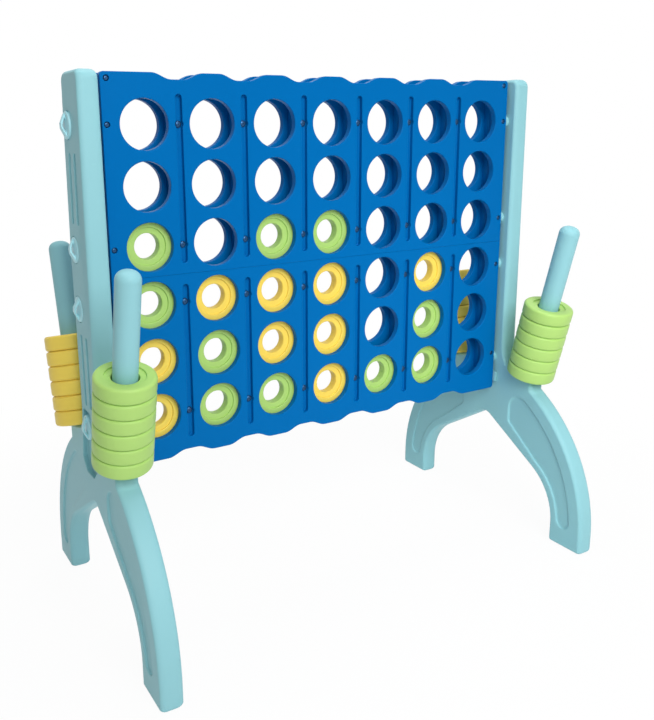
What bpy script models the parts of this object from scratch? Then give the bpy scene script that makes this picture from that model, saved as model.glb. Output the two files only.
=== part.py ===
"""Giant four in a row: a standing seven by six board between two arched legs, with ring discs.

Metres, +Z up. The origin is on the ground under the middle of the board, the board's front
faces -Y and its width runs along X. Run it with: blender --background --python part.py
"""

import math

import bmesh
import bpy
from mathutils import Matrix, Vector

# ---------------------------------------------------------------- driving sizes, in metres

CLEARANCE = 0.0003  # gap left between two pieces that touch

OVERALL_HEIGHT = 0.720
OVERALL_DEPTH = 0.430
LEG_RISE = 0.0018  # leg's top above the board's top

DISC_THICKNESS = 0.0205
DISC_BORE_PLAY = 0.00175  # disc's bore to the peg, on each side
DISC_EDGE = 0.0016  # chamfer round a disc's rim
DISC_PLAY = 0.00075  # running clearance of a disc on each side of its channel

COLUMNS = 7
ROWS = 6
SPLIT_ROWS = 3  # rows in each of the upper and lower panels
RIB_THICKNESS = 0.0144  # wall between two columns
VIEW_RIM = 0.00625  # how far a disc reaches behind a window's rim
BOTTOM_ROW_HEIGHT = 0.2832  # ground to the centre of the lowest row

PANEL_WALL = 0.010
END_WALL = 0.0148
BOARD_MARGIN = 0.061  # outer row's centre to the board's top or bottom edge
SCALLOP_DEPTH = 0.008
SCALLOP_FLAT = 0.008  # half width of the flat between two scallops
SCALLOP_SLOPE = 0.026
BOARD_CORNER = 0.005
GROOVE_WIDTH = 0.008
GROOVE_DEPTH = 0.007
GROOVE_NEAR = 0.014  # groove's end, measured from the seam between the panels
GROOVE_FAR = 0.025  # groove's other end, measured from the board's edge
PLATE_OVERRUN = 0.005  # how far a cutter passes a face

BAR_DIAMETER = 0.0070  # release bar's round shaft, inside the front wall
TONGUE_WIDTH = 0.0140
TONGUE_HEIGHT = 0.0060
TONGUE_PROUD = 0.0005  # tongues stand this far above the shaft
TONGUE_GAP = 0.0015  # tongue's tip to the channel's rear wall
LEVER_HEIGHT = 0.016
LEVER_REACH = 0.0085  # shaft's axis to the lever's front edge

LEG_GAP = 0.0053  # board's end to the leg's inner face
LEG_THICKNESS = 0.0290
LEG_TOP_THICKNESS = 0.0257
TAPER_START = 0.560  # height where the outer face begins to lean in
UPRIGHT_DEPTH = 0.070
UPRIGHT_CORNER = 0.012
FOOT_LENGTH = 0.062
FOOT_CORNER = 0.006
FOOT_RISE = 0.026  # straight height of the foot's outer side
OUTER_ARC = 0.2475
INNER_ARC = 0.090
ARCH_HEIGHT = 0.175
ARCH_SLOPE = math.radians(31.0)
ARCH_CROWN = 0.010  # half width of the flat at the arch's crown
SEAT_EDGE = 0.016  # seat's outer edge past the peg's axis
SEAT_FACE = 0.010  # least height of the short face under that edge
WEB_FLARE = 0.008  # upright widens by this much where it meets the seat
WEB_FLARE_HEIGHT = 0.036
RELIEF_DEPTH = 0.0030
RELIEF_OUTER_MARGIN = 0.0235
RELIEF_INNER_MARGIN = 0.0145
RELIEF_FOOT = 0.032
RELIEF_START = math.radians(57.5)
RELIEF_ROUND = 0.022  # radius of the sunk panel's upper end
RELIEF_HEEL_ROUND = 0.010  # radius where it turns from there into its lower side
RELIEF_HEEL_DROP = 0.020  # how far that radius's centre lies under the upper one's

PEG_DIAMETER = 0.030
PEG_LENGTH = 0.2531
PEG_LEAN = math.radians(14.0)
PEG_RING_GAP = 0.00225  # lowest ring to the upright's flare
PEG_BASE_HEIGHT = 0.2577
SPIGOT_DIAMETER = 0.020
SPIGOT_LENGTH = 0.034
RINGS_PER_PEG = 6
EXTRA_RINGS = 1  # more on the rear right peg

KNOB_WEB = 0.0217  # leg material between its inner face and the knob's seat
KNOB_OFFSET = -0.012  # knob line of the right leg from the board's middle plane
KNOB_DIAMETER = 0.033
KNOB_FLANGE = 0.006
KNOB_RISE = 0.0137  # seat to the tip of the wing
KNOB_SHANK = 0.009
KNOB_REACH = 0.0115  # how far the shank enters the board's end wall
KNOB_RECESS = 0.041  # diameter of the round recess under a knob
WING_WIDTH = 0.028
WING_THICKNESS = 0.008
WING_WALL = 0.0024
WING_CREST = 0.0025  # half width of the wing's flat crest
WING_SHOULDER = 0.0015  # height of the wing's ends over the flange
BOSS_DIAMETER = 0.018
KNOB_ROWS = (6, 4, 3, 1)  # counted from the bottom row
LOW_KNOB_DROP = 0.008  # the lowest knob sits this far under its row
WING_TURNS = (190.0, 20.0, 165.0, 5.0)  # degrees, top knob first

SLOT_SPACING = 0.021
SLOT_WIDTH = 0.008
SLOT_DEPTH = 0.0030
SLOT_MARGIN = 0.0325  # a slot's end to the knob line above or below it
POCKET_RISE = 0.0128  # low knob's pocket: its top above the lowest row
POCKET_DROP = 0.0732  # its foot below the lowest row
POCKET_BEND = 0.012  # height of its widest place above its foot
POCKET_TOP_WIDTH = 0.030
POCKET_WIDTH = 0.068
POCKET_FOOT_WIDTH = 0.060
SLOT_TO_POCKET = 0.010

SCREW_INSET = 0.006  # screw's axis to the board's end
SCREW_HEAD = 0.0070
SCREW_HEAD_HEIGHT = 0.0022
SCREW_SHANK = 0.0036
SCREW_LENGTH = 0.0235
SCREW_RECESS = 0.0035

ROUND_STEPS = 16  # sides of discs, windows and rings
SMALL_STEPS = 12  # sides of pegs, knobs and bores
TINY_STEPS = 8  # sides of screws

# Which discs stand in the board: column and row from the left and the bottom.
GREEN_PLACES = ((1, 4), (3, 4), (4, 4), (2, 2), (6, 2), (2, 1), (3, 1), (5, 1), (6, 1), (1, 3))
YELLOW_PLACES = ((2, 3), (3, 3), (4, 3), (6, 3), (1, 2), (3, 2), (4, 2), (1, 1), (4, 1))

# ---------------------------------------------------------------- sizes that follow

BOARD_TOP = OVERALL_HEIGHT - LEG_RISE
ROW_PITCH = (BOARD_TOP - BOARD_MARGIN - BOTTOM_ROW_HEIGHT) / (ROWS - 1)
DISC_DIAMETER = ROW_PITCH - CLEARANCE
DISC_BORE = PEG_DIAMETER + 2 * DISC_BORE_PLAY
VIEW_HOLE = DISC_DIAMETER - 2 * VIEW_RIM
CHANNEL_WIDTH = DISC_DIAMETER + 2 * DISC_PLAY
CHANNEL_DEPTH = DISC_THICKNESS + 2 * DISC_PLAY
COLUMN_PITCH = CHANNEL_WIDTH + RIB_THICKNESS
BOARD_DEPTH = CHANNEL_DEPTH + 2 * PANEL_WALL
BOARD_HALF = (COLUMNS - 1) / 2 * COLUMN_PITCH + CHANNEL_WIDTH / 2 + END_WALL
BOARD_BOTTOM = BOTTOM_ROW_HEIGHT - BOARD_MARGIN
SEAM_HEIGHT = BOTTOM_ROW_HEIGHT + (SPLIT_ROWS - 0.5) * ROW_PITCH

BAR_RADIUS = BAR_DIAMETER / 2
BAR_TOP = BOTTOM_ROW_HEIGHT - DISC_DIAMETER / 2 - CLEARANCE
BAR_AXIS_HEIGHT = BAR_TOP - TONGUE_PROUD - BAR_RADIUS
BAR_AXIS_OUT = -(CHANNEL_DEPTH / 2 + PANEL_WALL / 2)
BAR_LEFT = -(BOARD_HALF - END_WALL / 2)

LEG_INNER = BOARD_HALF + LEG_GAP
LEG_OUTER = LEG_INNER + LEG_THICKNESS
LEG_MIDDLE = LEG_INNER + LEG_THICKNESS / 2
KNOB_SEAT = LEG_INNER + KNOB_WEB
FOOT_TIP = OVERALL_DEPTH / 2
PEG_BASE_OUT = UPRIGHT_DEPTH / 2 + WEB_FLARE + PEG_RING_GAP + DISC_DIAMETER / 2
POCKET_TOP = BOTTOM_ROW_HEIGHT + POCKET_RISE
POCKET_FOOT = BOTTOM_ROW_HEIGHT - POCKET_DROP
ARC_CENTRE = Vector((FOOT_TIP - OUTER_ARC, FOOT_RISE))

BLUE = (0.0, 0.152, 0.515)
AQUA = (0.30, 0.66, 0.70)
PALE_AQUA = (0.42, 0.76, 0.80)
GREEN = (0.42, 0.68, 0.20)
YELLOW = (0.87, 0.60, 0.10)
STEEL = (0.05, 0.12, 0.25)
GLOSSY = 0.30  # roughness
SATIN = 0.42


def column_x(column):
    """Centre of a column, counted from 1 at the left."""
    return (column - (COLUMNS + 1) / 2) * COLUMN_PITCH


def row_z(row):
    """Centre of a row, counted from 1 at the bottom."""
    return BOTTOM_ROW_HEIGHT + (row - 1) * ROW_PITCH


def knob_z(row):
    """Height of the knob that belongs to a row."""
    return row_z(row) - (LOW_KNOB_DROP if row == KNOB_ROWS[-1] else 0.0)


# ---------------------------------------------------------------- mesh helpers


def add_prism(bm, outline, place, low, high):
    """Closed prism over a flat outline. place(a, b, depth) turns its coordinates into a point."""
    ends = []
    for depth in (low, high):
        ends.append([bm.verts.new(place(a, b, depth)) for a, b in outline])
    bm.faces.new(ends[0])
    bm.faces.new(list(reversed(ends[1])))
    for k in range(len(outline)):
        after = (k + 1) % len(outline)
        bm.faces.new((ends[0][k], ends[1][k], ends[1][after], ends[0][after]))


def add_box(bm, low, high):
    """Closed box between two corners."""
    outline = ((low[0], low[1]), (high[0], low[1]), (high[0], high[1]), (low[0], high[1]))
    add_prism(bm, outline, lambda a, b, depth: (a, b, depth), low[2], high[2])


def add_turned(bm, profile, steps, frame):
    """Turned body about the frame's Z axis. A closed profile makes a ring, one that starts and
    ends on the axis makes a solid."""
    solid = profile[0][0] == 0.0
    rings = []
    for radius, height in profile:
        if radius == 0.0:
            rings.append([bm.verts.new(frame @ Vector((0.0, 0.0, height)))])
            continue
        ring = []
        for k in range(steps):
            angle = 2 * math.pi * k / steps
            point = Vector((radius * math.cos(angle), radius * math.sin(angle), height))
            ring.append(bm.verts.new(frame @ point))
        rings.append(ring)
    last = len(rings) - 1 if solid else len(rings)
    for index in range(last):
        first, second = rings[index], rings[(index + 1) % len(rings)]
        for k in range(steps):
            after = (k + 1) % steps
            if len(first) == 1:
                bm.faces.new((first[0], second[after], second[k]))
            elif len(second) == 1:
                bm.faces.new((first[k], first[after], second[0]))
            else:
                bm.faces.new((first[k], first[after], second[after], second[k]))


def add_rod(bm, radius, low, high, steps, frame):
    """Plain cylinder along the frame's Z axis."""
    add_turned(bm, ((0.0, low), (radius, low), (radius, high), (0.0, high)), steps, frame)


def along_x(x, y, z):
    """Frame at a point whose Z axis runs along world +X."""
    return Matrix.Translation((x, y, z)) @ Matrix.Rotation(math.pi / 2, 4, "Y")


def along_y(x, y, z):
    """Frame at a point whose Z axis runs along world +Y."""
    return Matrix.Translation((x, y, z)) @ Matrix.Rotation(-math.pi / 2, 4, "X")


def arc(centre, radius, start, end, steps):
    """Points on an arc, both ends included."""
    points = []
    for k in range(steps + 1):
        angle = start + (end - start) * k / steps
        points.append((centre[0] + radius * math.cos(angle), centre[1] + radius * math.sin(angle)))
    return points


def make_material(name, colour, roughness):
    """Plain plastic or metal finish."""
    material = bpy.data.materials.new(name)
    material.use_nodes = True
    shader = material.node_tree.nodes["Principled BSDF"]
    shader.inputs["Base Color"].default_value = (*colour, 1.0)
    shader.inputs["Roughness"].default_value = roughness
    shader.inputs["Metallic"].default_value = 0.0
    return material


def make_object(name, bm, material, origin=(0.0, 0.0, 0.0), smooth=0.0):
    """Object from a mesh in world space, with its origin moved to the given point."""
    bmesh.ops.recalc_face_normals(bm, faces=bm.faces)
    bmesh.ops.translate(bm, verts=bm.verts, vec=-Vector(origin))
    mesh = bpy.data.meshes.new(name)
    bm.to_mesh(mesh)
    bm.free()
    if smooth:
        mesh.shade_smooth()
        mesh.set_sharp_from_angle(angle=smooth)
    item = bpy.data.objects.new(name, mesh)
    item.location = origin
    bpy.context.scene.collection.objects.link(item)
    if material:
        mesh.materials.append(material)
    return item


def make_cutter(name, bm):
    """Hidden shape that only cuts or joins."""
    item = make_object(name, bm, None)
    item.hide_render = True
    item.display_type = "WIRE"
    return item


def combine(target, cutter, operation):
    """Cut the cutter out of the target, or join it on."""
    step = target.modifiers.new(cutter.name, "BOOLEAN")
    step.operation = operation
    step.solver = "EXACT"
    step.object = cutter


# ---------------------------------------------------------------- board panels


def scalloped_edge(level, sign):
    """Points from the left end to the right end of the board's wavy top (sign 1) or bottom."""
    points = []
    steps = 3
    for gap in range(1, COLUMNS):
        middle = (column_x(gap) + column_x(gap + 1)) / 2
        side = []
        for k in range(steps + 1):
            share = k / steps
            drop = SCALLOP_DEPTH * (1 + math.cos(math.pi * share)) / 2
            side.append((SCALLOP_FLAT + SCALLOP_SLOPE * share, level - sign * drop))
        points += [(middle - out, height) for out, height in reversed(side)]
        points += [(middle + out, height) for out, height in side]
    return points


def panel_outline(upper):
    """Front view of one panel, from the seam to the wavy edge."""
    sign = 1 if upper else -1
    level = BOARD_TOP if upper else BOARD_BOTTOM
    seam = SEAM_HEIGHT + sign * CLEARANCE / 2
    inner = BOARD_HALF - BOARD_CORNER
    left = arc((-inner, level - sign * BOARD_CORNER), BOARD_CORNER, math.pi, math.pi / 2, 3)
    right = arc((inner, level - sign * BOARD_CORNER), BOARD_CORNER, math.pi / 2, 0.0, 3)
    if not upper:
        left = [(x, 2 * (level + BOARD_CORNER) - z) for x, z in left]
        right = [(x, 2 * (level + BOARD_CORNER) - z) for x, z in right]
    ends = [(BOARD_HALF, seam), (-BOARD_HALF, seam)]
    return left + scalloped_edge(level, sign) + right + ends


def channel_cutter(name, side):
    """Seven disc channels, open at the top and the bottom."""
    bm = bmesh.new()
    wall = side * CHANNEL_DEPTH / 2
    past = -side * PLATE_OVERRUN
    for column in range(1, COLUMNS + 1):
        x = column_x(column)
        low = (x - CHANNEL_WIDTH / 2, min(wall, past), BOARD_BOTTOM - PLATE_OVERRUN)
        high = (x + CHANNEL_WIDTH / 2, max(wall, past), BOARD_TOP + PLATE_OVERRUN)
        add_box(bm, low, high)
    return make_cutter(name, bm)


def add_windows(bm, upper):
    """The round windows of one panel."""
    first = SPLIT_ROWS + 1 if upper else 1
    last = ROWS if upper else SPLIT_ROWS
    reach = BOARD_DEPTH / 2 + PLATE_OVERRUN
    for column in range(1, COLUMNS + 1):
        for row in range(first, last + 1):
            frame = along_y(column_x(column), 0.0, row_z(row))
            add_rod(bm, VIEW_HOLE / 2, -reach, reach, ROUND_STEPS, frame)


def add_grooves(bm, side, upper):
    """Upright grooves outside the ribs, with round ends."""
    sign = 1 if upper else -1
    edge = BOARD_TOP if upper else BOARD_BOTTOM
    levels = sorted((SEAM_HEIGHT + sign * GROOVE_NEAR, edge - sign * GROOVE_FAR))
    half = GROOVE_WIDTH / 2
    face = side * BOARD_DEPTH / 2
    for gap in range(1, COLUMNS):
        x = (column_x(gap) + column_x(gap + 1)) / 2
        outline = arc((x, levels[1] - half), half, 0.0, math.pi, 4)
        outline += arc((x, levels[0] + half), half, math.pi, 2 * math.pi, 4)
        depths = (face - side * GROOVE_DEPTH, face + side * PLATE_OVERRUN)
        add_prism(bm, outline, lambda a, b, depth: (a, depth, b), min(depths), max(depths))


def panel_rows(upper):
    """The knob rows that belong to one panel."""
    return [row for row in KNOB_ROWS if (row > SPLIT_ROWS) == upper]


def add_fixings(bm, side, upper):
    """Bores for the knobs' shanks and for the end screws that fall in one panel.

    The left end's screws have their heads in front, the right end's at the back."""
    for row in panel_rows(upper):
        for end in (-1, 1):
            if -end == side:
                tip = end * (BOARD_HALF - KNOB_REACH - CLEARANCE)
                outside = end * (BOARD_HALF + PLATE_OVERRUN)
                frame = along_x(0.0, end * KNOB_OFFSET, knob_z(row))
                low, high = min(tip, outside), max(tip, outside)
                add_rod(bm, KNOB_SHANK / 2 + CLEARANCE, low, high, SMALL_STEPS, frame)
            x = end * (BOARD_HALF - SCREW_INSET)
            frame = along_y(x, 0.0, row_z(row))
            face = end * BOARD_DEPTH / 2
            seat = face - end * SCREW_RECESS
            if end == side:
                outside = face + end * PLATE_OVERRUN
                profile = screw_bore_profile(seat, outside, -end * PLATE_OVERRUN)
                add_turned(bm, profile, TINY_STEPS, frame)
            else:
                tip = seat - end * (SCREW_LENGTH + CLEARANCE)
                past = end * PLATE_OVERRUN
                low, high = min(tip, past), max(tip, past)
                add_rod(bm, SCREW_SHANK / 2 + CLEARANCE, low, high, TINY_STEPS, frame)


def opening_cutter(name, side, upper):
    """Everything that is cut into one panel from its face or its end."""
    bm = bmesh.new()
    add_windows(bm, upper)
    add_grooves(bm, side, upper)
    add_fixings(bm, side, upper)
    return make_cutter(name, bm)


def screw_bore_profile(seat, outside, past):
    """Turned profile of a screw's counterbore and clearance hole."""
    head = SCREW_HEAD / 2 + CLEARANCE
    shank = SCREW_SHANK / 2 + CLEARANCE
    return ((0.0, outside), (head, outside), (head, seat), (shank, seat), (shank, past), (0.0, past))


def bar_cutter(name):
    """Bore for the release bar in the front wall, with a pocket where each tongue hangs open."""
    bm = bmesh.new()
    frame = along_x(0.0, BAR_AXIS_OUT, BAR_AXIS_HEIGHT)
    radius = BAR_RADIUS + CLEARANCE
    low, high = BAR_LEFT - CLEARANCE, BOARD_HALF + PLATE_OVERRUN
    add_rod(bm, radius, low, high, SMALL_STEPS, frame)
    return make_cutter(name, bm)


def tongue_cutter(name):
    """Pockets in the front wall where the tongues swing down."""
    bm = bmesh.new()
    half = TONGUE_WIDTH / 2 + CLEARANCE
    front = BAR_AXIS_OUT - BAR_RADIUS - TONGUE_PROUD - CLEARANCE
    for column in range(1, COLUMNS + 1):
        x = column_x(column)
        low = (x - half, front, BOARD_BOTTOM - PLATE_OVERRUN)
        add_box(bm, low, (x + half, 0.0, BAR_TOP + CLEARANCE))
    return make_cutter(name, bm)


def build_panel(name, side, upper, material):
    """One of the four mouldings: half of the upper or the lower board."""
    bm = bmesh.new()
    depths = sorted((side * CLEARANCE / 2, side * BOARD_DEPTH / 2))
    add_prism(bm, panel_outline(upper), lambda a, b, depth: (a, depth, b), *depths)
    panel = make_object(name, bm, material)
    combine(panel, channel_cutter(name + "_channels", side), "DIFFERENCE")
    if not upper and side < 0:
        combine(panel, tongue_cutter(name + "_tongues"), "DIFFERENCE")
        combine(panel, bar_cutter(name + "_bar_bore"), "DIFFERENCE")
    combine(panel, opening_cutter(name + "_openings", side, upper), "DIFFERENCE")
    return panel


def build_release_bar(material):
    """Turning bar that carries the lowest discs: a shaft with a tongue per column and a lever."""
    frame = along_x(0.0, BAR_AXIS_OUT, BAR_AXIS_HEIGHT)
    lever_out = LEG_INNER - CLEARANCE
    bm = bmesh.new()
    add_rod(bm, BAR_RADIUS, BAR_LEFT, lever_out, SMALL_STEPS, frame)
    bar = make_object("release_bar", bm, material, frame.translation)
    half = TONGUE_WIDTH / 2
    tip = CHANNEL_DEPTH / 2 - TONGUE_GAP
    joined = bmesh.new()
    for column in range(1, COLUMNS + 1):
        x = column_x(column)
        low = (x - half, BAR_AXIS_OUT, BAR_TOP - TONGUE_HEIGHT)
        add_box(joined, low, (x + half, tip, BAR_TOP))
    low = (BOARD_HALF + CLEARANCE, BAR_AXIS_OUT - LEVER_REACH, BAR_AXIS_HEIGHT - LEVER_HEIGHT / 2)
    high = (lever_out, BAR_AXIS_OUT + BAR_RADIUS, BAR_AXIS_HEIGHT + LEVER_HEIGHT / 2)
    add_box(joined, low, high)
    combine(bar, make_cutter("release_bar_tongues", joined), "UNION")
    return bar


# ---------------------------------------------------------------- legs


def seat_height(out):
    """Height of the peg's seat at a distance from the board's middle plane."""
    return PEG_BASE_HEIGHT - math.tan(PEG_LEAN) * (out - PEG_BASE_OUT)


def haunch_angle():
    """Where the outer arc ends: under the seat's edge, or lower to leave the seat its face."""
    edge = PEG_BASE_OUT + SEAT_EDGE
    under_edge = math.acos(min(1.0, (edge - ARC_CENTRE.x) / OUTER_ARC))
    low = seat_height(edge) - SEAT_FACE - ARC_CENTRE.y
    return min(under_edge, math.asin(min(1.0, low / OUTER_ARC)))


def arch_arc_centre():
    """Centre of the arc inside the foot, so that it meets the sloping underside smoothly."""
    inside = FOOT_TIP - FOOT_LENGTH
    run = inside - INNER_ARC + INNER_ARC * math.sin(ARCH_SLOPE)
    height = ARCH_HEIGHT - math.tan(ARCH_SLOPE) * run - INNER_ARC * math.cos(ARCH_SLOPE)
    return Vector((inside - INNER_ARC, height))


def half_leg_outline():
    """One side of the leg seen along X, from the top's middle down to the arch's crown."""
    half = UPRIGHT_DEPTH / 2
    top = OVERALL_HEIGHT
    corner = (half - UPRIGHT_CORNER, top - UPRIGHT_CORNER)
    points = arc(corner, UPRIGHT_CORNER, math.pi / 2, 0.0, 4)
    flare_foot = half + WEB_FLARE
    points.append((half, seat_height(flare_foot) + WEB_FLARE_HEIGHT))
    points.append((half + WEB_FLARE / 3, seat_height(flare_foot) + WEB_FLARE_HEIGHT / 3))
    points.append((flare_foot, seat_height(flare_foot)))
    edge = PEG_BASE_OUT + SEAT_EDGE
    points.append((edge, seat_height(edge)))
    points += arc(ARC_CENTRE, OUTER_ARC, haunch_angle(), 0.0, 9)
    points += arc((FOOT_TIP - FOOT_CORNER, FOOT_CORNER), FOOT_CORNER, 0.0, -math.pi / 2, 2)
    inside = FOOT_TIP - FOOT_LENGTH
    points += arc((inside + FOOT_CORNER, FOOT_CORNER), FOOT_CORNER, -math.pi / 2, -math.pi, 2)
    centre = arch_arc_centre()
    points += arc(centre, INNER_ARC, 0.0, math.pi / 2 - ARCH_SLOPE, 6)
    points.append((ARCH_CROWN, ARCH_HEIGHT - math.tan(ARCH_SLOPE) * ARCH_CROWN))
    return points


def relief_outline():
    """Sunk panel in the side of one foot: wide and round at the top, narrow at the sole."""
    outer = OUTER_ARC - RELIEF_OUTER_MARGIN
    start = math.asin((RELIEF_FOOT - ARC_CENTRE.y) / outer)
    points = arc(ARC_CENTRE, outer, start, RELIEF_START, 8)
    reach = outer - RELIEF_ROUND
    end = ARC_CENTRE + Vector((reach * math.cos(RELIEF_START), reach * math.sin(RELIEF_START)))
    points += arc(end, RELIEF_ROUND, RELIEF_START, math.pi, 4)[1:]
    heel = (end.x - RELIEF_ROUND + RELIEF_HEEL_ROUND, end.y - RELIEF_HEEL_DROP)
    points += arc(heel, RELIEF_HEEL_ROUND, math.pi, math.pi * 3 / 2 - ARCH_SLOPE, 3)
    centre = arch_arc_centre()
    inner = INNER_ARC + RELIEF_INNER_MARGIN
    foot = math.asin(max(-1.0, (RELIEF_FOOT - centre.y) / inner))
    points += arc(centre, inner, math.pi / 2 - ARCH_SLOPE, foot, 5)
    return points


def to_side(a, b, depth):
    """Point of an outline that is drawn in the leg's side view."""
    return (depth, a, b)


def leg_panel_cutter(name):
    """Sunk panels in both sides of both feet."""
    bm = bmesh.new()
    for front in (-1, 1):
        outline = [(front * out, height) for out, height in relief_outline()]
        add_prism(bm, outline, to_side, LEG_OUTER - RELIEF_DEPTH, LEG_OUTER + PLATE_OVERRUN)
        add_prism(bm, outline, to_side, LEG_INNER - PLATE_OVERRUN, LEG_INNER + RELIEF_DEPTH)
    return make_cutter(name, bm)


def leg_relief_cutter(name):
    """Shallow shapes sunk in the upright's outer side: slots, knob recesses and the low pocket."""
    bm = bmesh.new()
    outside = LEG_OUTER + PLATE_OVERRUN
    for front in (-1, 1):
        y = front * SLOT_SPACING / 2
        for low, high in slot_levels():
            floor = outer_face(high) - SLOT_DEPTH
            half = SLOT_WIDTH / 2
            add_box(bm, (floor, y - half, low), (outside, y + half, high))
    for row in KNOB_ROWS[:-1]:
        height = knob_z(row)
        if outer_face(height - KNOB_DIAMETER / 2) > KNOB_SEAT + CLEARANCE:
            frame = along_x(0.0, KNOB_OFFSET, height)
            add_rod(bm, KNOB_RECESS / 2, KNOB_SEAT, outside, ROUND_STEPS, frame)
    pocket = (
        (KNOB_OFFSET - POCKET_TOP_WIDTH / 2, POCKET_TOP),
        (KNOB_OFFSET + POCKET_TOP_WIDTH / 2, POCKET_TOP),
        (KNOB_OFFSET + POCKET_WIDTH / 2, POCKET_FOOT + POCKET_BEND),
        (KNOB_OFFSET + POCKET_FOOT_WIDTH / 2, POCKET_FOOT),
        (KNOB_OFFSET - POCKET_FOOT_WIDTH / 2, POCKET_FOOT),
        (KNOB_OFFSET - POCKET_WIDTH / 2, POCKET_FOOT + POCKET_BEND),
    )
    add_prism(bm, pocket, to_side, KNOB_SEAT, outside)
    return make_cutter(name, bm)


def slot_levels():
    """Lower and upper end of the upper and of the lower pair of slots."""
    top, middle, low = (row_z(row) for row in KNOB_ROWS[:-1])
    return (middle + SLOT_MARGIN, top - SLOT_MARGIN), (POCKET_TOP + SLOT_TO_POCKET, low - SLOT_MARGIN)


def outer_face(height):
    """How far out the leg's tapering outer face lies at a height."""
    if height <= TAPER_START:
        return LEG_OUTER
    share = (height - TAPER_START) / (OVERALL_HEIGHT - TAPER_START)
    return LEG_OUTER - share * (LEG_THICKNESS - LEG_TOP_THICKNESS)


def leg_boss_cutter(name):
    """Bosses on the inner face that meet the board's end round each knob's shank."""
    bm = bmesh.new()
    for row in KNOB_ROWS:
        frame = along_x(0.0, KNOB_OFFSET, knob_z(row))
        low, high = BOARD_HALF + CLEARANCE, LEG_INNER + RELIEF_DEPTH
        add_rod(bm, BOSS_DIAMETER / 2, low, high, SMALL_STEPS, frame)
    return make_cutter(name, bm)


def peg_frame(front):
    """Frame on a peg's seat in the leg's own side, whose Z axis runs up the peg."""
    place = Matrix.Translation((LEG_MIDDLE, front * PEG_BASE_OUT, PEG_BASE_HEIGHT))
    return place @ Matrix.Rotation(-front * PEG_LEAN, 4, "X")


def leg_hole_cutter(name):
    """Bores for the knobs' shanks and sockets for the pegs' spigots."""
    bm = bmesh.new()
    for row in KNOB_ROWS:
        frame = along_x(0.0, KNOB_OFFSET, knob_z(row))
        low, high = BOARD_HALF - PLATE_OVERRUN, LEG_OUTER + PLATE_OVERRUN
        add_rod(bm, KNOB_SHANK / 2 + CLEARANCE, low, high, SMALL_STEPS, frame)
    for front in (-1, 1):
        low, high = -SPIGOT_LENGTH - CLEARANCE, PLATE_OVERRUN
        add_rod(bm, SPIGOT_DIAMETER / 2 + CLEARANCE, low, high, SMALL_STEPS, peg_frame(front))
    return make_cutter(name, bm)


def side_matrix(end):
    """Legs are one shape: the right one as built, the left one turned half a turn about Z."""
    return Matrix.Rotation(0.0 if end > 0 else math.pi, 4, "Z")


def build_leg(name, end, material):
    """Upright, arch and feet in one moulding."""
    half = half_leg_outline()
    outline = [(-out, height) for out, height in half] + list(reversed(half))
    bm = bmesh.new()
    add_prism(bm, outline, lambda a, b, depth: (depth, a, b), LEG_INNER, LEG_OUTER)
    rise = OVERALL_HEIGHT - TAPER_START
    normal = Vector((rise, 0.0, LEG_THICKNESS - LEG_TOP_THICKNESS)).normalized()
    taper_line = Vector((LEG_OUTER, 0.0, TAPER_START))
    faces = bm.verts[:] + bm.edges[:] + bm.faces[:]
    bmesh.ops.bisect_plane(bm, geom=faces, plane_co=taper_line, plane_no=normal, clear_outer=True)
    rim = [edge for edge in bm.edges if edge.is_boundary]
    bmesh.ops.contextual_create(bm, geom=rim)
    leg = make_object(name, bm, material)
    combine(leg, leg_panel_cutter(name + "_panels"), "DIFFERENCE")
    combine(leg, leg_relief_cutter(name + "_reliefs"), "DIFFERENCE")
    combine(leg, leg_boss_cutter(name + "_bosses"), "UNION")
    combine(leg, leg_hole_cutter(name + "_holes"), "DIFFERENCE")
    turn_half(leg, end)
    return leg


def turn_half(leg, end):
    """Turn a leg and its cutters to the side they belong on."""
    leg.matrix_world = side_matrix(end) @ leg.matrix_world
    for step in leg.modifiers:
        step.object.matrix_world = side_matrix(end) @ step.object.matrix_world


def build_peg(name, end, front, material):
    """Storage peg with a round tip, standing on its seat with a spigot in the leg."""
    radius = PEG_DIAMETER / 2
    spigot = SPIGOT_DIAMETER / 2
    dome = PEG_LENGTH - radius
    profile = [(0.0, -SPIGOT_LENGTH), (spigot, -SPIGOT_LENGTH), (spigot, CLEARANCE)]
    profile += [(radius, CLEARANCE)] + arc((0.0, dome), radius, 0.0, math.pi / 2, 3)
    profile[-1] = (0.0, PEG_LENGTH)
    frame = side_matrix(end) @ peg_frame(front * end)
    bm = bmesh.new()
    add_turned(bm, profile, SMALL_STEPS, frame)
    return make_object(name, bm, material, frame.translation, smooth=math.radians(40))


# ---------------------------------------------------------------- discs and rings


def disc_rim(low):
    """Outer half of one disc's turned profile, from its lower to its upper face."""
    radius = DISC_DIAMETER / 2
    high = low + DISC_THICKNESS
    return [
        (radius - DISC_EDGE, low),
        (radius, low + DISC_EDGE),
        (radius, high - DISC_EDGE),
        (radius - DISC_EDGE, high),
    ]


def build_disc(name, column, row, material):
    """Disc standing in its column, with its axis along Y."""
    bore = DISC_BORE / 2
    low = -DISC_THICKNESS / 2
    profile = [(bore, low)] + disc_rim(low) + [(bore, -low)]
    frame = along_y(column_x(column), 0.0, row_z(row))
    bm = bmesh.new()
    add_turned(bm, profile, ROUND_STEPS, frame)
    return make_object(name, bm, material, frame.translation, smooth=math.radians(30))


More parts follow.
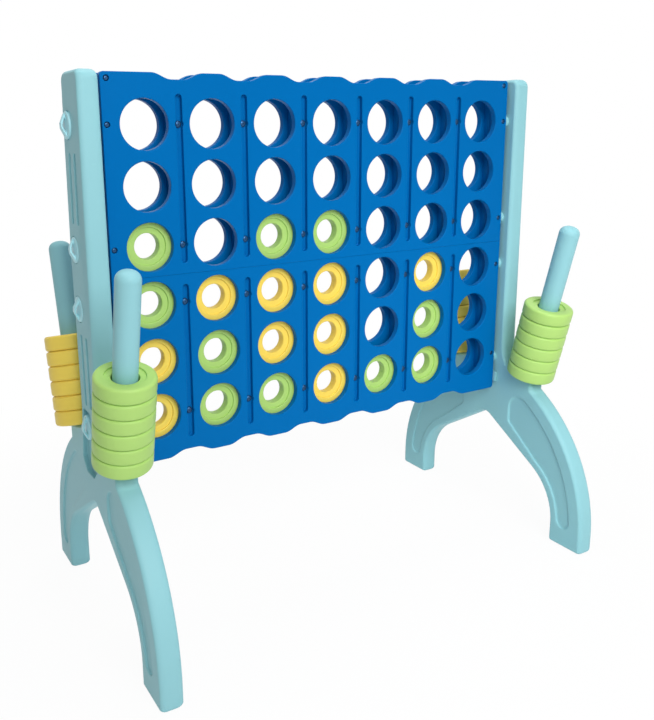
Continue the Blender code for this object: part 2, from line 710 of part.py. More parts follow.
def build_rings(name, end, front, first, count, material):
    """Discs stored on a peg, as one body when there are several."""
    bore = DISC_BORE / 2
    low = CLEARANCE + first * DISC_THICKNESS + (CLEARANCE if first else 0.0)
    profile = [(bore, low)]
    for index in range(count):
        rim = disc_rim(low + index * DISC_THICKNESS)
        profile += rim if index == 0 else rim[1:]
    profile.append((bore, low + count * DISC_THICKNESS))
    frame = side_matrix(end) @ peg_frame(front * end)
    bm = bmesh.new()
    add_turned(bm, profile, ROUND_STEPS, frame)
    origin = frame @ Vector((0.0, 0.0, low))
    return make_object(name, bm, material, origin, smooth=math.radians(30))


# ---------------------------------------------------------------- knobs and screws


def wing_outline():
    """Triangular wing seen from its side, standing on the flange with its crest in the middle."""
    half = WING_WIDTH / 2
    base = KNOB_FLANGE / 2
    shoulder = KNOB_FLANGE + WING_SHOULDER
    right = [(half, base), (half, shoulder), (WING_CREST, KNOB_RISE)]
    return [(-half, base)] + right + [(-WING_CREST, KNOB_RISE), (-half, shoulder)]


def wing_window():
    """Triangular opening inside the wing."""
    half = WING_WIDTH / 2 - 2 * WING_WALL
    low = KNOB_FLANGE
    high = KNOB_RISE - WING_WALL
    return [(-half, low), (half, low), (WING_CREST, high), (-WING_CREST, high)]


def build_knob(name, end, index, row, material):
    """Wing knob whose shank passes through the leg into the board's end wall."""
    seat = KNOB_SEAT + CLEARANCE
    shank_tip = BOARD_HALF - KNOB_REACH - seat
    radius = KNOB_DIAMETER / 2
    shank = KNOB_SHANK / 2
    profile = ((0.0, shank_tip), (shank, shank_tip), (shank, 0.0), (radius, 0.0))
    profile += ((radius, KNOB_FLANGE), (0.0, KNOB_FLANGE))
    frame = side_matrix(end) @ along_x(seat, KNOB_OFFSET, knob_z(row))
    turn = frame @ Matrix.Rotation(math.radians(WING_TURNS[index]), 4, "Z")
    bm = bmesh.new()
    add_turned(bm, profile, SMALL_STEPS, frame)
    knob = make_object(name, bm, material, frame.translation, smooth=math.radians(30))
    half = WING_THICKNESS / 2
    wing = bmesh.new()
    add_prism(wing, wing_outline(), lambda a, b, depth: turn @ Vector((a, depth, b)), -half, half)
    combine(knob, make_cutter(name + "_wing", wing), "UNION")
    hole = bmesh.new()
    past = half + PLATE_OVERRUN
    add_prism(hole, wing_window(), lambda a, b, depth: turn @ Vector((a, depth, b)), -past, past)
    combine(knob, make_cutter(name + "_window", hole), "DIFFERENCE")
    return knob


def build_screw(name, end, row, material):
    """Screw that clamps the two halves of a panel together at the board's end."""
    seat = end * (BOARD_DEPTH / 2 - SCREW_RECESS + CLEARANCE)
    frame = along_y(end * (BOARD_HALF - SCREW_INSET), seat, row_z(row))
    head = SCREW_HEAD / 2
    shank = SCREW_SHANK / 2
    top = end * SCREW_HEAD_HEIGHT
    tip = -end * SCREW_LENGTH
    profile = ((0.0, tip), (shank, tip), (shank, 0.0), (head, 0.0), (head, top), (0.0, top))
    bm = bmesh.new()
    add_turned(bm, profile, TINY_STEPS, frame)
    return make_object(name, bm, material, frame.translation)


# ---------------------------------------------------------------- assembly


def clear_scene():
    """Start from an empty scene."""
    for item in list(bpy.data.objects):
        bpy.data.objects.remove(item, do_unlink=True)


def build_board(blue, aqua):
    """Four panels and the release bar."""
    for upper in (True, False):
        for side, place in ((-1, "front"), (1, "rear")):
            level = "upper" if upper else "lower"
            build_panel(f"panel_{level}_{place}", side, upper, blue)
    build_release_bar(aqua)


def build_sides(aqua, pale, steel, green, yellow):
    """Legs, pegs, stored rings, knobs and end screws."""
    for end, hand in ((-1, "left"), (1, "right")):
        build_leg(f"leg_{hand}", end, aqua)
        for front, place, colour in ((-1, "front", green), (1, "rear", yellow)):
            build_peg(f"peg_{place}_{hand}", end, front, aqua)
            below = RINGS_PER_PEG - 1 + (EXTRA_RINGS if end > 0 and front > 0 else 0)
            build_rings(f"ring_stack_{place}_{hand}", end, front, 0, below, colour)
            build_rings(f"ring_top_{place}_{hand}", end, front, below, 1, colour)
        for index, row in enumerate(KNOB_ROWS):
            build_knob(f"knob_{hand}_{index + 1}", end, index, row, pale)
            build_screw(f"screw_{hand}_{index + 1}", end, row, steel)


def build_discs(green, yellow):
    """Discs played into the board."""
    for places, colour in ((GREEN_PLACES, green), (YELLOW_PLACES, yellow)):
        for column, row in places:
            build_disc(f"disc_c{column}_r{row}", column, row, colour)


def main():
    """Build the whole game."""
    clear_scene()
    blue = make_material("blue_plastic", BLUE, GLOSSY)
    aqua = make_material("aqua_plastic", AQUA, SATIN)
    pale = make_material("pale_aqua_plastic", PALE_AQUA, GLOSSY)
    green = make_material("green_plastic", GREEN, SATIN)
    yellow = make_material("yellow_plastic", YELLOW, SATIN)
    steel = make_material("screw_metal", STEEL, GLOSSY)
    build_board(blue, aqua)
    build_sides(aqua, pale, steel, green, yellow)
    build_discs(green, yellow)


main()
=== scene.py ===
"""Giant four in a row: the board, its legs, pegs, knobs and ring discs, dressed for the camera.

Metres, +Z up. The board faces -Y and its width runs along X. Every piece is formed here with
rounded moulded edges and rides on the body of the solid that it stands for.
"""

import logging
import math
from dataclasses import dataclass, field
from enum import Enum
from typing import Callable, Iterable, Sequence

import bmesh
import bpy
from mathutils import Matrix, Vector
from mathutils.geometry import tessellate_polygon


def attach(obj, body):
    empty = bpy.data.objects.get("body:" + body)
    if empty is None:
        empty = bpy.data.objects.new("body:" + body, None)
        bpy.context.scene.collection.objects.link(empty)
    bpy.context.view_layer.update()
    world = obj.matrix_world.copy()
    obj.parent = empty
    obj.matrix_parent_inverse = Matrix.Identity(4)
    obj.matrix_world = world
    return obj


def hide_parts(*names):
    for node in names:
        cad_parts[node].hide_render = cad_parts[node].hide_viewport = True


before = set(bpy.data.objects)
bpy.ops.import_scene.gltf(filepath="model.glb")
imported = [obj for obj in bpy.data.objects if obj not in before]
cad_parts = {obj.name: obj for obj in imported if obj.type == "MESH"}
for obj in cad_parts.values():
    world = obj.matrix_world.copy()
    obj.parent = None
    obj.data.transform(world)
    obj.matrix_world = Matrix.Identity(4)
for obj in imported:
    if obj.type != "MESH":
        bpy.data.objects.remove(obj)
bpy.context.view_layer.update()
LOG = logging.getLogger("four_in_a_row")

Point = tuple[float, float]
Outline = list[Point]


# ---------------------------------------------------------------- names of choices


class End(Enum):
    """The board's two ends."""

    LEFT = -1
    RIGHT = 1


class Face(Enum):
    """The board's two faces."""

    FRONT = -1
    REAR = 1


class Level(Enum):
    """The board's two panels, one above the other."""

    LOWER = "lower"
    UPPER = "upper"


class Colour(Enum):
    """The two players' colours."""

    GREEN = "green"
    YELLOW = "yellow"


# ---------------------------------------------------------------- sizes shared by the pieces


@dataclass(frozen=True)
class Grid:
    """Places of the columns and rows, and the outside sizes of the board."""

    columns: int = 7
    column_pitch: float = 0.0904
    row_pitch: float = 0.0748
    bottom_row: float = 0.2832
    half_width: float = 0.324
    half_depth: float = 0.021
    bottom: float = 0.2222
    top: float = 0.7182
    seam: float = 0.4702
    window_radius: float = 0.031
    end_screw: float = 0.318
    meeting: float = 0.00015

    def x(self, column: float) -> float:
        """Centre of a column, counted from 1 at the left."""
        return (column - (self.columns + 1) / 2) * self.column_pitch

    def z(self, row: float) -> float:
        """Centre of a row, counted from 1 at the bottom."""
        return self.bottom_row + (row - 1) * self.row_pitch


GRID = Grid()


# ---------------------------------------------------------------- shader node groups


class NodeGroup:
    """A shader node group that is built once and placed in many materials."""

    def __init__(self, name: str, inputs: dict[str, float], outputs: dict[str, str]) -> None:
        """Make the group with a coordinate input, numeric inputs and typed outputs."""
        self.tree = bpy.data.node_groups.new(name, "ShaderNodeTree")
        face = self.tree.interface
        face.new_socket("Coordinate", in_out="INPUT", socket_type="NodeSocketVector")
        for label, value in inputs.items():
            socket = face.new_socket(label, in_out="INPUT", socket_type="NodeSocketFloat")
            socket.default_value = value
        for label, kind in outputs.items():
            face.new_socket(label, in_out="OUTPUT", socket_type=kind)
        self.source = self.tree.nodes.new("NodeGroupInput")
        self.sink = self.tree.nodes.new("NodeGroupOutput")

    def node(self, kind: str, **values: object) -> bpy.types.Node:
        """Add a node and set its properties."""
        made = self.tree.nodes.new(kind)
        for key, value in values.items():
            setattr(made, key, value)
        return made

    def link(self, start: bpy.types.NodeSocket, end: bpy.types.NodeSocket) -> None:
        """Join two sockets."""
        self.tree.links.new(start, end)

    def feed(self, value: object, end: bpy.types.NodeSocket) -> None:
        """Give a socket a number, or join another socket to it."""
        if isinstance(value, (int, float)):
            end.default_value = value
        else:
            self.link(value, end)

    def maths(self, operation: str, first: object, second: object) -> bpy.types.NodeSocket:
        """Add a Math node.

        Args:
            operation: the Math node's operation.
            first: a socket or a number.
            second: a socket or a number.

        Returns:
            The node's output socket.
        """
        made = self.node("ShaderNodeMath", operation=operation)
        self.feed(first, made.inputs[0])
        self.feed(second, made.inputs[1])
        return made.outputs[0]

    def noise(self, scale: object, detail: float, roughness: float = 0.5) -> bpy.types.NodeSocket:
        """Add a noise texture on the group's coordinate and return its value."""
        made = self.node("ShaderNodeTexNoise")
        made.inputs["Detail"].default_value = detail
        made.inputs["Roughness"].default_value = roughness
        self.link(self.source.outputs["Coordinate"], made.inputs["Vector"])
        self.feed(scale, made.inputs["Scale"])
        return made.outputs["Fac"]


# Scales of the noise in the finishes, per metre
GRAIN_SCALE = 2400.0
SINK_SCALE = 14.0
GLOSS_SCALE = 38.0
PATCH_SCALE = 9.0
PIGMENT_SCALE = 7.0
STREAKS = (((1.0, 1.0, 9.0), 46.0), ((8.0, 1.0, 1.0), 39.0))
STREAK_LIMIT = 0.73


def moulded_skin_group() -> bpy.types.NodeTree:
    """Surface of moulded polyethylene.

    Returns:
        A group that puts out a bump height made of slow sink marks, orange peel and fine grain,
        and a roughness that wanders with them.
    """
    group = NodeGroup(
        "moulded_skin",
        {"Peel Scale": 260.0, "Peel": 0.35, "Grain": 0.2, "Sink": 0.6, "Roughness": 0.3,
         "Roughness Drift": 0.08},
        {"Height": "NodeSocketFloat", "Roughness": "NodeSocketFloat"},
    )
    take = group.source.outputs
    peel = group.noise(take["Peel Scale"], 2.0, 0.4)
    grain = group.noise(GRAIN_SCALE, 1.0)
    sink = group.noise(SINK_SCALE, 1.5, 0.4)
    height = group.maths("MULTIPLY", peel, take["Peel"])
    height = group.maths("ADD", height, group.maths("MULTIPLY", grain, take["Grain"]))
    height = group.maths("ADD", height, group.maths("MULTIPLY", sink, take["Sink"]))
    group.link(height, group.sink.inputs["Height"])
    cloud = group.maths("SUBTRACT", group.noise(GLOSS_SCALE, 4.0, 0.6), 0.5)
    drift = group.maths("MULTIPLY", cloud, take["Roughness Drift"])
    group.link(group.maths("ADD", take["Roughness"], drift), group.sink.inputs["Roughness"])
    return group.tree


def scuff_group() -> bpy.types.NodeTree:
    """Light handling marks.

    Returns:
        A group that puts out a mask of short thin scuffs and small specks.
    """
    group = NodeGroup("scuffs", {"Amount": 0.5}, {"Mask": "NodeSocketFloat"})
    take = group.source.outputs
    mask: bpy.types.NodeSocket | None = None
    for stretch, scale in STREAKS:
        turn = group.node("ShaderNodeMapping")
        turn.inputs["Scale"].default_value = stretch
        turn.inputs["Rotation"].default_value = (0.3, 0.5 * stretch[0], 0.2)
        group.link(take["Coordinate"], turn.inputs["Vector"])
        streak = group.node("ShaderNodeTexNoise")
        streak.inputs["Scale"].default_value = scale
        streak.inputs["Detail"].default_value = 3.0
        group.link(turn.outputs["Vector"], streak.inputs["Vector"])
        edge = group.maths("GREATER_THAN", streak.outputs["Fac"], STREAK_LIMIT)
        mask = edge if mask is None else group.maths("MAXIMUM", mask, edge)
    patch = group.maths("GREATER_THAN", group.noise(PATCH_SCALE, 2.0), 0.5)
    mask = group.maths("MULTIPLY", mask, patch)
    group.link(group.maths("MULTIPLY", mask, take["Amount"]), group.sink.inputs["Mask"])
    return group.tree


def pigment_group() -> bpy.types.NodeTree:
    """Slow change of pigment through a moulding.

    Returns:
        A group that puts out a value near one, to multiply a colour's brightness by.
    """
    group = NodeGroup("pigment", {"Spread": 0.05}, {"Factor": "NodeSocketFloat"})
    cloud = group.maths("SUBTRACT", group.noise(PIGMENT_SCALE, 3.0, 0.55), 0.5)
    value = group.maths("MULTIPLY", cloud, group.source.outputs["Spread"])
    group.link(group.maths("ADD", value, 1.0), group.sink.inputs["Factor"])
    return group.tree


@dataclass(frozen=True)
class Effects:
    """The node groups that the finishes share."""

    skin: bpy.types.NodeTree
    scuffs: bpy.types.NodeTree
    pigment: bpy.types.NodeTree

    @classmethod
    def build(cls) -> "Effects":
        """Build the three groups."""
        return cls(moulded_skin_group(), scuff_group(), pigment_group())


# ---------------------------------------------------------------- finishes


class Surface:
    """A Principled material with the moulded skin's roughness and bump."""

    def __init__(self, name: str, effects: Effects, skin: dict[str, float], bump: float,
                 distance: float) -> None:
        """Make the material and join the shared skin to it.

        Args:
            name: the material's name.
            effects: the shared node groups.
            skin: inputs of the skin group that differ from its own.
            bump: strength of the bump.
            distance: height of the bump in metres.
        """
        self.material = bpy.data.materials.new(name)
        self.material.use_nodes = True
        self.nodes = self.material.node_tree.nodes
        self.links = self.material.node_tree.links
        self.shader = self.nodes["Principled BSDF"]
        self.place = self.nodes.new("ShaderNodeTexCoord")
        moulded = self.effect(effects.skin, skin)
        self.links.new(moulded.outputs["Roughness"], self.shader.inputs["Roughness"])
        relief = self.nodes.new("ShaderNodeBump")
        relief.inputs["Strength"].default_value = bump
        relief.inputs["Distance"].default_value = distance
        self.links.new(moulded.outputs["Height"], relief.inputs["Height"])
        self.links.new(relief.outputs["Normal"], self.shader.inputs["Normal"])

    def effect(self, tree: bpy.types.NodeTree, values: dict[str, float]) -> bpy.types.Node:
        """Place a shared group on the object's coordinates and set its inputs."""
        made = self.nodes.new("ShaderNodeGroup")
        made.node_tree = tree
        self.links.new(self.place.outputs["Object"], made.inputs["Coordinate"])
        for label, value in values.items():
            made.inputs[label].default_value = value
        return made


SUBSURFACE_RADIUS = (0.004, 0.004, 0.004)


@dataclass(frozen=True)
class PlasticFinish:
    """Moulded plastic of one colour, with its own gloss and skin."""

    name: str
    slot: str
    colour: tuple[float, float, float]
    scuffed: tuple[float, float, float]
    roughness: float
    drift: float = 0.08
    peel_scale: float = 260.0
    peel: float = 0.35
    grain: float = 0.2
    sink: float = 0.6
    bump: float = 0.12
    bump_height: float = 0.0008
    spread: float = 0.06
    scuffs: float = 0.35
    specular: float = 0.5
    subsurface: float = 0.0

    def build(self, effects: Effects) -> bpy.types.Material:
        """Build the material.

        Args:
            effects: the shared node groups.

        Returns:
            The finished material.
        """
        skin = {"Peel Scale": self.peel_scale, "Peel": self.peel, "Grain": self.grain,
                "Sink": self.sink, "Roughness": self.roughness, "Roughness Drift": self.drift}
        surface = Surface(self.name, effects, skin, self.bump, self.bump_height)
        shader, nodes, links = surface.shader, surface.nodes, surface.links
        shader.inputs["Specular IOR Level"].default_value = self.specular
        shader.inputs["Subsurface Weight"].default_value = self.subsurface
        shader.inputs["Subsurface Radius"].default_value = SUBSURFACE_RADIUS
        shader.inputs["Subsurface Scale"].default_value = 1.0
        scuffs = surface.effect(effects.scuffs, {"Amount": self.scuffs})
        pigment = surface.effect(effects.pigment, {"Spread": self.spread})
        tone = nodes.new("ShaderNodeHueSaturation")
        tone.inputs["Color"].default_value = (*self.colour, 1.0)
        links.new(pigment.outputs["Factor"], tone.inputs["Value"])
        blend = nodes.new("ShaderNodeMix")
        blend.data_type = "RGBA"
        links.new(scuffs.outputs["Mask"], blend.inputs["Factor"])
        links.new(tone.outputs["Color"], blend.inputs[6])
        blend.inputs[7].default_value = (*self.scuffed, 1.0)
        links.new(blend.outputs[2], shader.inputs["Base Color"])
        return surface.material


@dataclass(frozen=True)
class ScrewFinish:
    """Dark blued steel with a turned sheen."""

    name: str = "blued_screw"
    slot: str = "screw_metal"
    colour: tuple[float, float, float] = (0.02, 0.08, 0.19)
    metallic: float = 0.7
    peel_scale: float = 1500.0
    roughness: float = 0.3
    drift: float = 0.2
    bump: float = 0.15
    bump_height: float = 0.0004

    def build(self, effects: Effects) -> bpy.types.Material:
        """Build the material from the shared node groups."""
        skin = {"Peel Scale": self.peel_scale, "Roughness": self.roughness,
                "Roughness Drift": self.drift}
        surface = Surface(self.name, effects, skin, self.bump, self.bump_height)
        surface.shader.inputs["Base Color"].default_value = (*self.colour, 1.0)
        surface.shader.inputs["Metallic"].default_value = self.metallic
        return surface.material


Finish = PlasticFinish | ScrewFinish

BOARD_BLUE = PlasticFinish(
    name="board_blue", slot="blue_plastic", colour=(0.0, 0.140, 0.425),
    scuffed=(0.01, 0.19, 0.52), roughness=0.30, drift=0.08, peel_scale=150.0, peel=0.5,
    sink=1.0, bump=0.10, spread=0.07, scuffs=0.18, specular=0.035,
)
LEG_AQUA = PlasticFinish(
    name="leg_aqua", slot="aqua_plastic", colour=(0.280, 0.575, 0.625),
    scuffed=(0.34, 0.70, 0.74), roughness=0.45, peel_scale=320.0, bump=0.12, spread=0.06,
    scuffs=0.2, subsurface=0.05, specular=0.20,
)
KNOB_AQUA = PlasticFinish(
    name="knob_aqua", slot="pale_aqua_plastic", colour=(0.440, 0.800, 0.870),
    scuffed=(0.52, 0.86, 0.90), roughness=0.34, peel_scale=500.0, bump=0.08, spread=0.04,
    scuffs=0.2, specular=0.3,
)
DISC_GREEN = PlasticFinish(
    name="disc_green", slot="green_plastic", colour=(0.420, 0.660, 0.175),
    scuffed=(0.55, 0.78, 0.35), roughness=0.42, peel_scale=420.0, bump=0.10, spread=0.05,
    scuffs=0.25, subsurface=0.05, specular=0.3,
)
DISC_YELLOW = PlasticFinish(
    name="disc_yellow", slot="yellow_plastic", colour=(0.930, 0.690, 0.110),
    scuffed=(0.94, 0.76, 0.20), roughness=0.42, peel_scale=420.0, bump=0.10, spread=0.05,
    scuffs=0.25, subsurface=0.05, specular=0.3,
)
SCREW_STEEL = ScrewFinish()


class Palette:
    """Builds each finish once and gives it out."""

    def __init__(self) -> None:
        """Start with the shared groups and no materials."""
        self.effects = Effects.build()
        self.made: dict[str, bpy.types.Material] = {}

    def get(self, finish: Finish) -> bpy.types.Material:
        """The material of a finish, built at its first use."""
        if finish.name not in self.made:
            self.made[finish.name] = finish.build(self.effects)
        return self.made[finish.name]

    def piece(self, skin: "Skin", name: str, finish: Finish, body: str,
              solid: str | None = None) -> bpy.types.Object:
        """Turn a skin into a piece that rides on a body of the frame.

        Args:
            skin: the finished skin.
            name: the piece's name.
            finish: its finish.
            body: the body that carries it.
            solid: the solid that it stands for, if it stands for one.

        Returns:
            The piece.
        """
        made = skin.build(name, self.get(finish))
        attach(made, body)
        if solid is not None:
            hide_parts(solid)
        return made


# ---------------------------------------------------------------- outlines


def arc(centre: Point, radius: float, start: float, end: float, steps: int) -> Outline:
    """Points on an arc.

    Args:
        centre: the arc's centre.
        radius: its radius.
        start: first angle in radians.
        end: last angle in radians.
        steps: how many chords.

    Returns:
        The points, both ends included.
    """
    points = []
    for k in range(steps + 1):
        angle = start + (end - start) * k / steps
        points.append((centre[0] + radius * math.cos(angle), centre[1] + radius * math.sin(angle)))
    return points


def circle(centre: Point, radius: float, steps: int) -> Outline:
    """Closed circle, anticlockwise."""
    return arc(centre, radius, 0.0, 2 * math.pi, steps)[:-1]


def capsule(x: float, low: float, high: float, half: float, steps: int) -> Outline:
    """Upright slot with round ends, anticlockwise."""
    top = arc((x, high - half), half, 0.0, math.pi, steps)
    return top + arc((x, low + half), half, math.pi, 2 * math.pi, steps)


def seated_slot(x: float, low: float, high: float, half: float, seats: Sequence[float],
                radius: float) -> Outline:
    """Upright slot with round ends that widens round each screw seat.

    Args:
        x: the slot's middle.
        low: its lower end.
        high: its upper end.
        half: half its width.
        seats: heights of the screw seats, lowest first.
        radius: radius of a seat, more than half the width.

    Returns:
        The outline, anticlockwise.
    """
    reach = math.acos(half / radius)
    points = arc((x, low + half), half, math.pi, 2 * math.pi, 8)
    for z in seats:
        points += arc((x, z), radius, -reach, reach, 6)
    points += arc((x, high - half), half, 0.0, math.pi, 8)
    for z in reversed(seats):
        points += arc((x, z), radius, math.pi - reach, math.pi + reach, 6)
    return points


def area(outline: Outline) -> float:
    """Signed area of a closed outline."""
    total = 0.0
    for (ax, ay), (bx, by) in zip(outline, outline[1:] + outline[:1]):
        total += ax * by - bx * ay
    return total / 2


def anticlockwise(outline: Outline) -> Outline:
    """The same outline, turned anticlockwise."""
    return outline if area(outline) > 0 else list(reversed(outline))


def rounded(outline: Outline, radius: float, steps: int = 4, sharp: float = 0.35) -> Outline:
    """Round the corners of a closed outline.

    Args:
        outline: the closed outline.
        radius: the corner radius, cut down where the sides are short.
        steps: chords in each rounded corner.
        sharp: corners that turn by less than this many radians stay.

    Returns:
        The outline with round corners.
    """
    count = len(outline)
    result: Outline = []
    for k in range(count):
        before, here, after = (Vector(outline[(k + d) % count]) for d in (-1, 0, 1))
        towards, away = before - here, after - here
        bend = math.pi - towards.angle(away)
        if bend < sharp:
            result.append(tuple(here))
            continue
        cut = min(radius * math.tan(bend / 2), towards.length * 0.49, away.length * 0.49)
        start = here + towards.normalized() * cut
        end = here + away.normalized() * cut
        for s in range(steps + 1):
            t = s / steps
            point = start * (1 - t) ** 2 + here * (2 * t * (1 - t)) + end * t ** 2
            result.append((point.x, point.y))
    return result


def edge_normals(outline: Outline) -> list[Vector]:
    """Outward miter direction at each point of an anticlockwise outline."""
    count = len(outline)
    result = []
    for k in range(count):
        before, here, after = (Vector(outline[(k + d) % count]) for d in (-1, 0, 1))
        first, second = (here - before).normalized(), (after - here).normalized()
        first_out = Vector((first.y, -first.x))
        second_out = Vector((second.y, -second.x))
        share = 1 + first_out.dot(second_out)
        result.append((first_out + second_out) / max(share, 0.35))
    return result


# ---------------------------------------------------------------- skins


class Skin:
    """A mesh under construction, with an exact normal at every point."""

    def __init__(self) -> None:
        """Start empty."""
        self.points: list[Vector] = []
        self.normals: list[Vector] = []
        self.faces: list[tuple[int, ...]] = []

    def ring(self, points: Iterable[Vector], normals: Iterable[Vector]) -> list[int]:
        """Add a loop of points and return their numbers."""
        start = len(self.points)
        self.points += [Vector(p) for p in points]
        self.normals += [Vector(n) for n in normals]
        return list(range(start, len(self.points)))

    def strip(self, first: list[int], second: list[int]) -> None:
        """Join two loops of the same length with quads, or a loop to a single point."""
        count = len(first)
        if len(second) == 1:
            for k in range(count):
                self.faces.append((first[k], first[(k + 1) % count], second[0]))
            return
        for k in range(count):
            after = (k + 1) % count
            self.faces.append((first[k], first[after], second[after], second[k]))

    def build(self, name: str, material: bpy.types.Material) -> bpy.types.Object:
        """Turn the skin into an object.

        Args:
            name: the object's name.
            material: its material.

        Returns:
            The new object, at the origin.
        """
        mesh = bpy.data.meshes.new(name)
        mesh.from_pydata([tuple(p) for p in self.points], [], self.faces)
        mesh.validate(clean_customdata=False)
        if len(mesh.vertices) == len(self.normals):
            self._face_by_normals(mesh)
            for polygon in mesh.polygons:
                polygon.use_smooth = True
            mesh.normals_split_custom_set_from_vertices([tuple(n.normalized()) for n in self.normals])
        mesh.materials.append(material)
        made = bpy.data.objects.new(name, mesh)
        bpy.context.scene.collection.objects.link(made)
        return made

    def _face_by_normals(self, mesh: bpy.types.Mesh) -> None:
        """Turn each face to the side that its points' normals lie on."""
        work = bmesh.new()
        work.from_mesh(mesh)
        for face in work.faces:
            wanted = Vector()
            for vertex in face.verts:
                wanted += self.normals[vertex.index]
            if face.normal.dot(wanted) < 0:
                face.normal_flip()
        work.to_mesh(mesh)
        work.free()

    def moved(self, change: Callable[[Vector], Vector]) -> None:
        """Pass every point through a function."""
        self.points = [change(p) for p in self.points]

    def placed(self, place: Matrix) -> None:
        """Pass every point and normal through a matrix without scale."""
        turn = place.to_3x3()
        self.points = [place @ p for p in self.points]
        self.normals = [turn @ n for n in self.normals]

    def add(self, other: "Skin") -> None:
        """Take over another skin."""
        start = len(self.points)
        self.points += other.points
        self.normals += other.normals
        self.faces += [tuple(index + start for index in face) for face in other.faces]


def turned(profile: Sequence[Point], steps: int, smooth: float = 0.7) -> Skin:
    """Body turned about its Z axis.

    Args:
        profile: radius and height of each point. It runs up the outside, and is closed
            through its last and first points unless they lie on the axis.
        steps: how many sides.
        smooth: corners that turn by less than this many radians are shaded round.

    Returns:
        The skin.
    """
    skin = Skin()
    solid = profile[0][0] < 1e-9
    count = len(profile)
    spans = count - 1 if solid else count
    directions = []
    for k in range(spans):
        step = Vector(profile[(k + 1) % count]) - Vector(profile[k])
        directions.append(Vector((step.y, -step.x)).normalized())
    for k in range(spans):
        ends = []
        for place, other in ((k, k - 1), (k + 1, k + 1)):
            inside = 0 <= other < spans if solid else True
            normal = directions[k].copy()
            if inside and directions[k].angle(directions[other % spans]) < smooth:
                normal = (directions[k] + directions[other % spans]).normalized()
            radius, height = profile[place % count]
            ends.append(_turned_ring(skin, radius, height, normal, steps))
        first, second = ends
        if len(first) == 1:
            skin.strip(second, first)
        else:
            skin.strip(first, second)
    return skin


def _turned_ring(skin: Skin, radius: float, height: float, normal: Vector, steps: int) -> list[int]:
    """One ring of a turned body, or its point on the axis."""
    if radius < 1e-9:
        return skin.ring([Vector((0, 0, height))], [Vector((0, 0, normal.y))])
    points, normals = [], []
    for k in range(steps):
        angle = 2 * math.pi * k / steps
        across, along = math.cos(angle), math.sin(angle)
        points.append(Vector((radius * across, radius * along, height)))
        normals.append(Vector((normal.x * across, normal.x * along, normal.y)))
    return skin.ring(points, normals)


@dataclass
class Opening:
    """A hole or a sunk shape in a slab's face."""

    outline: Outline
    depth: float | None = None
    edge: float = 0.001
    floor_edge: float = 0.0008
    flare: float = 1.0
    low_side: bool = False
    upper_wall: list[int] = field(default_factory=list)


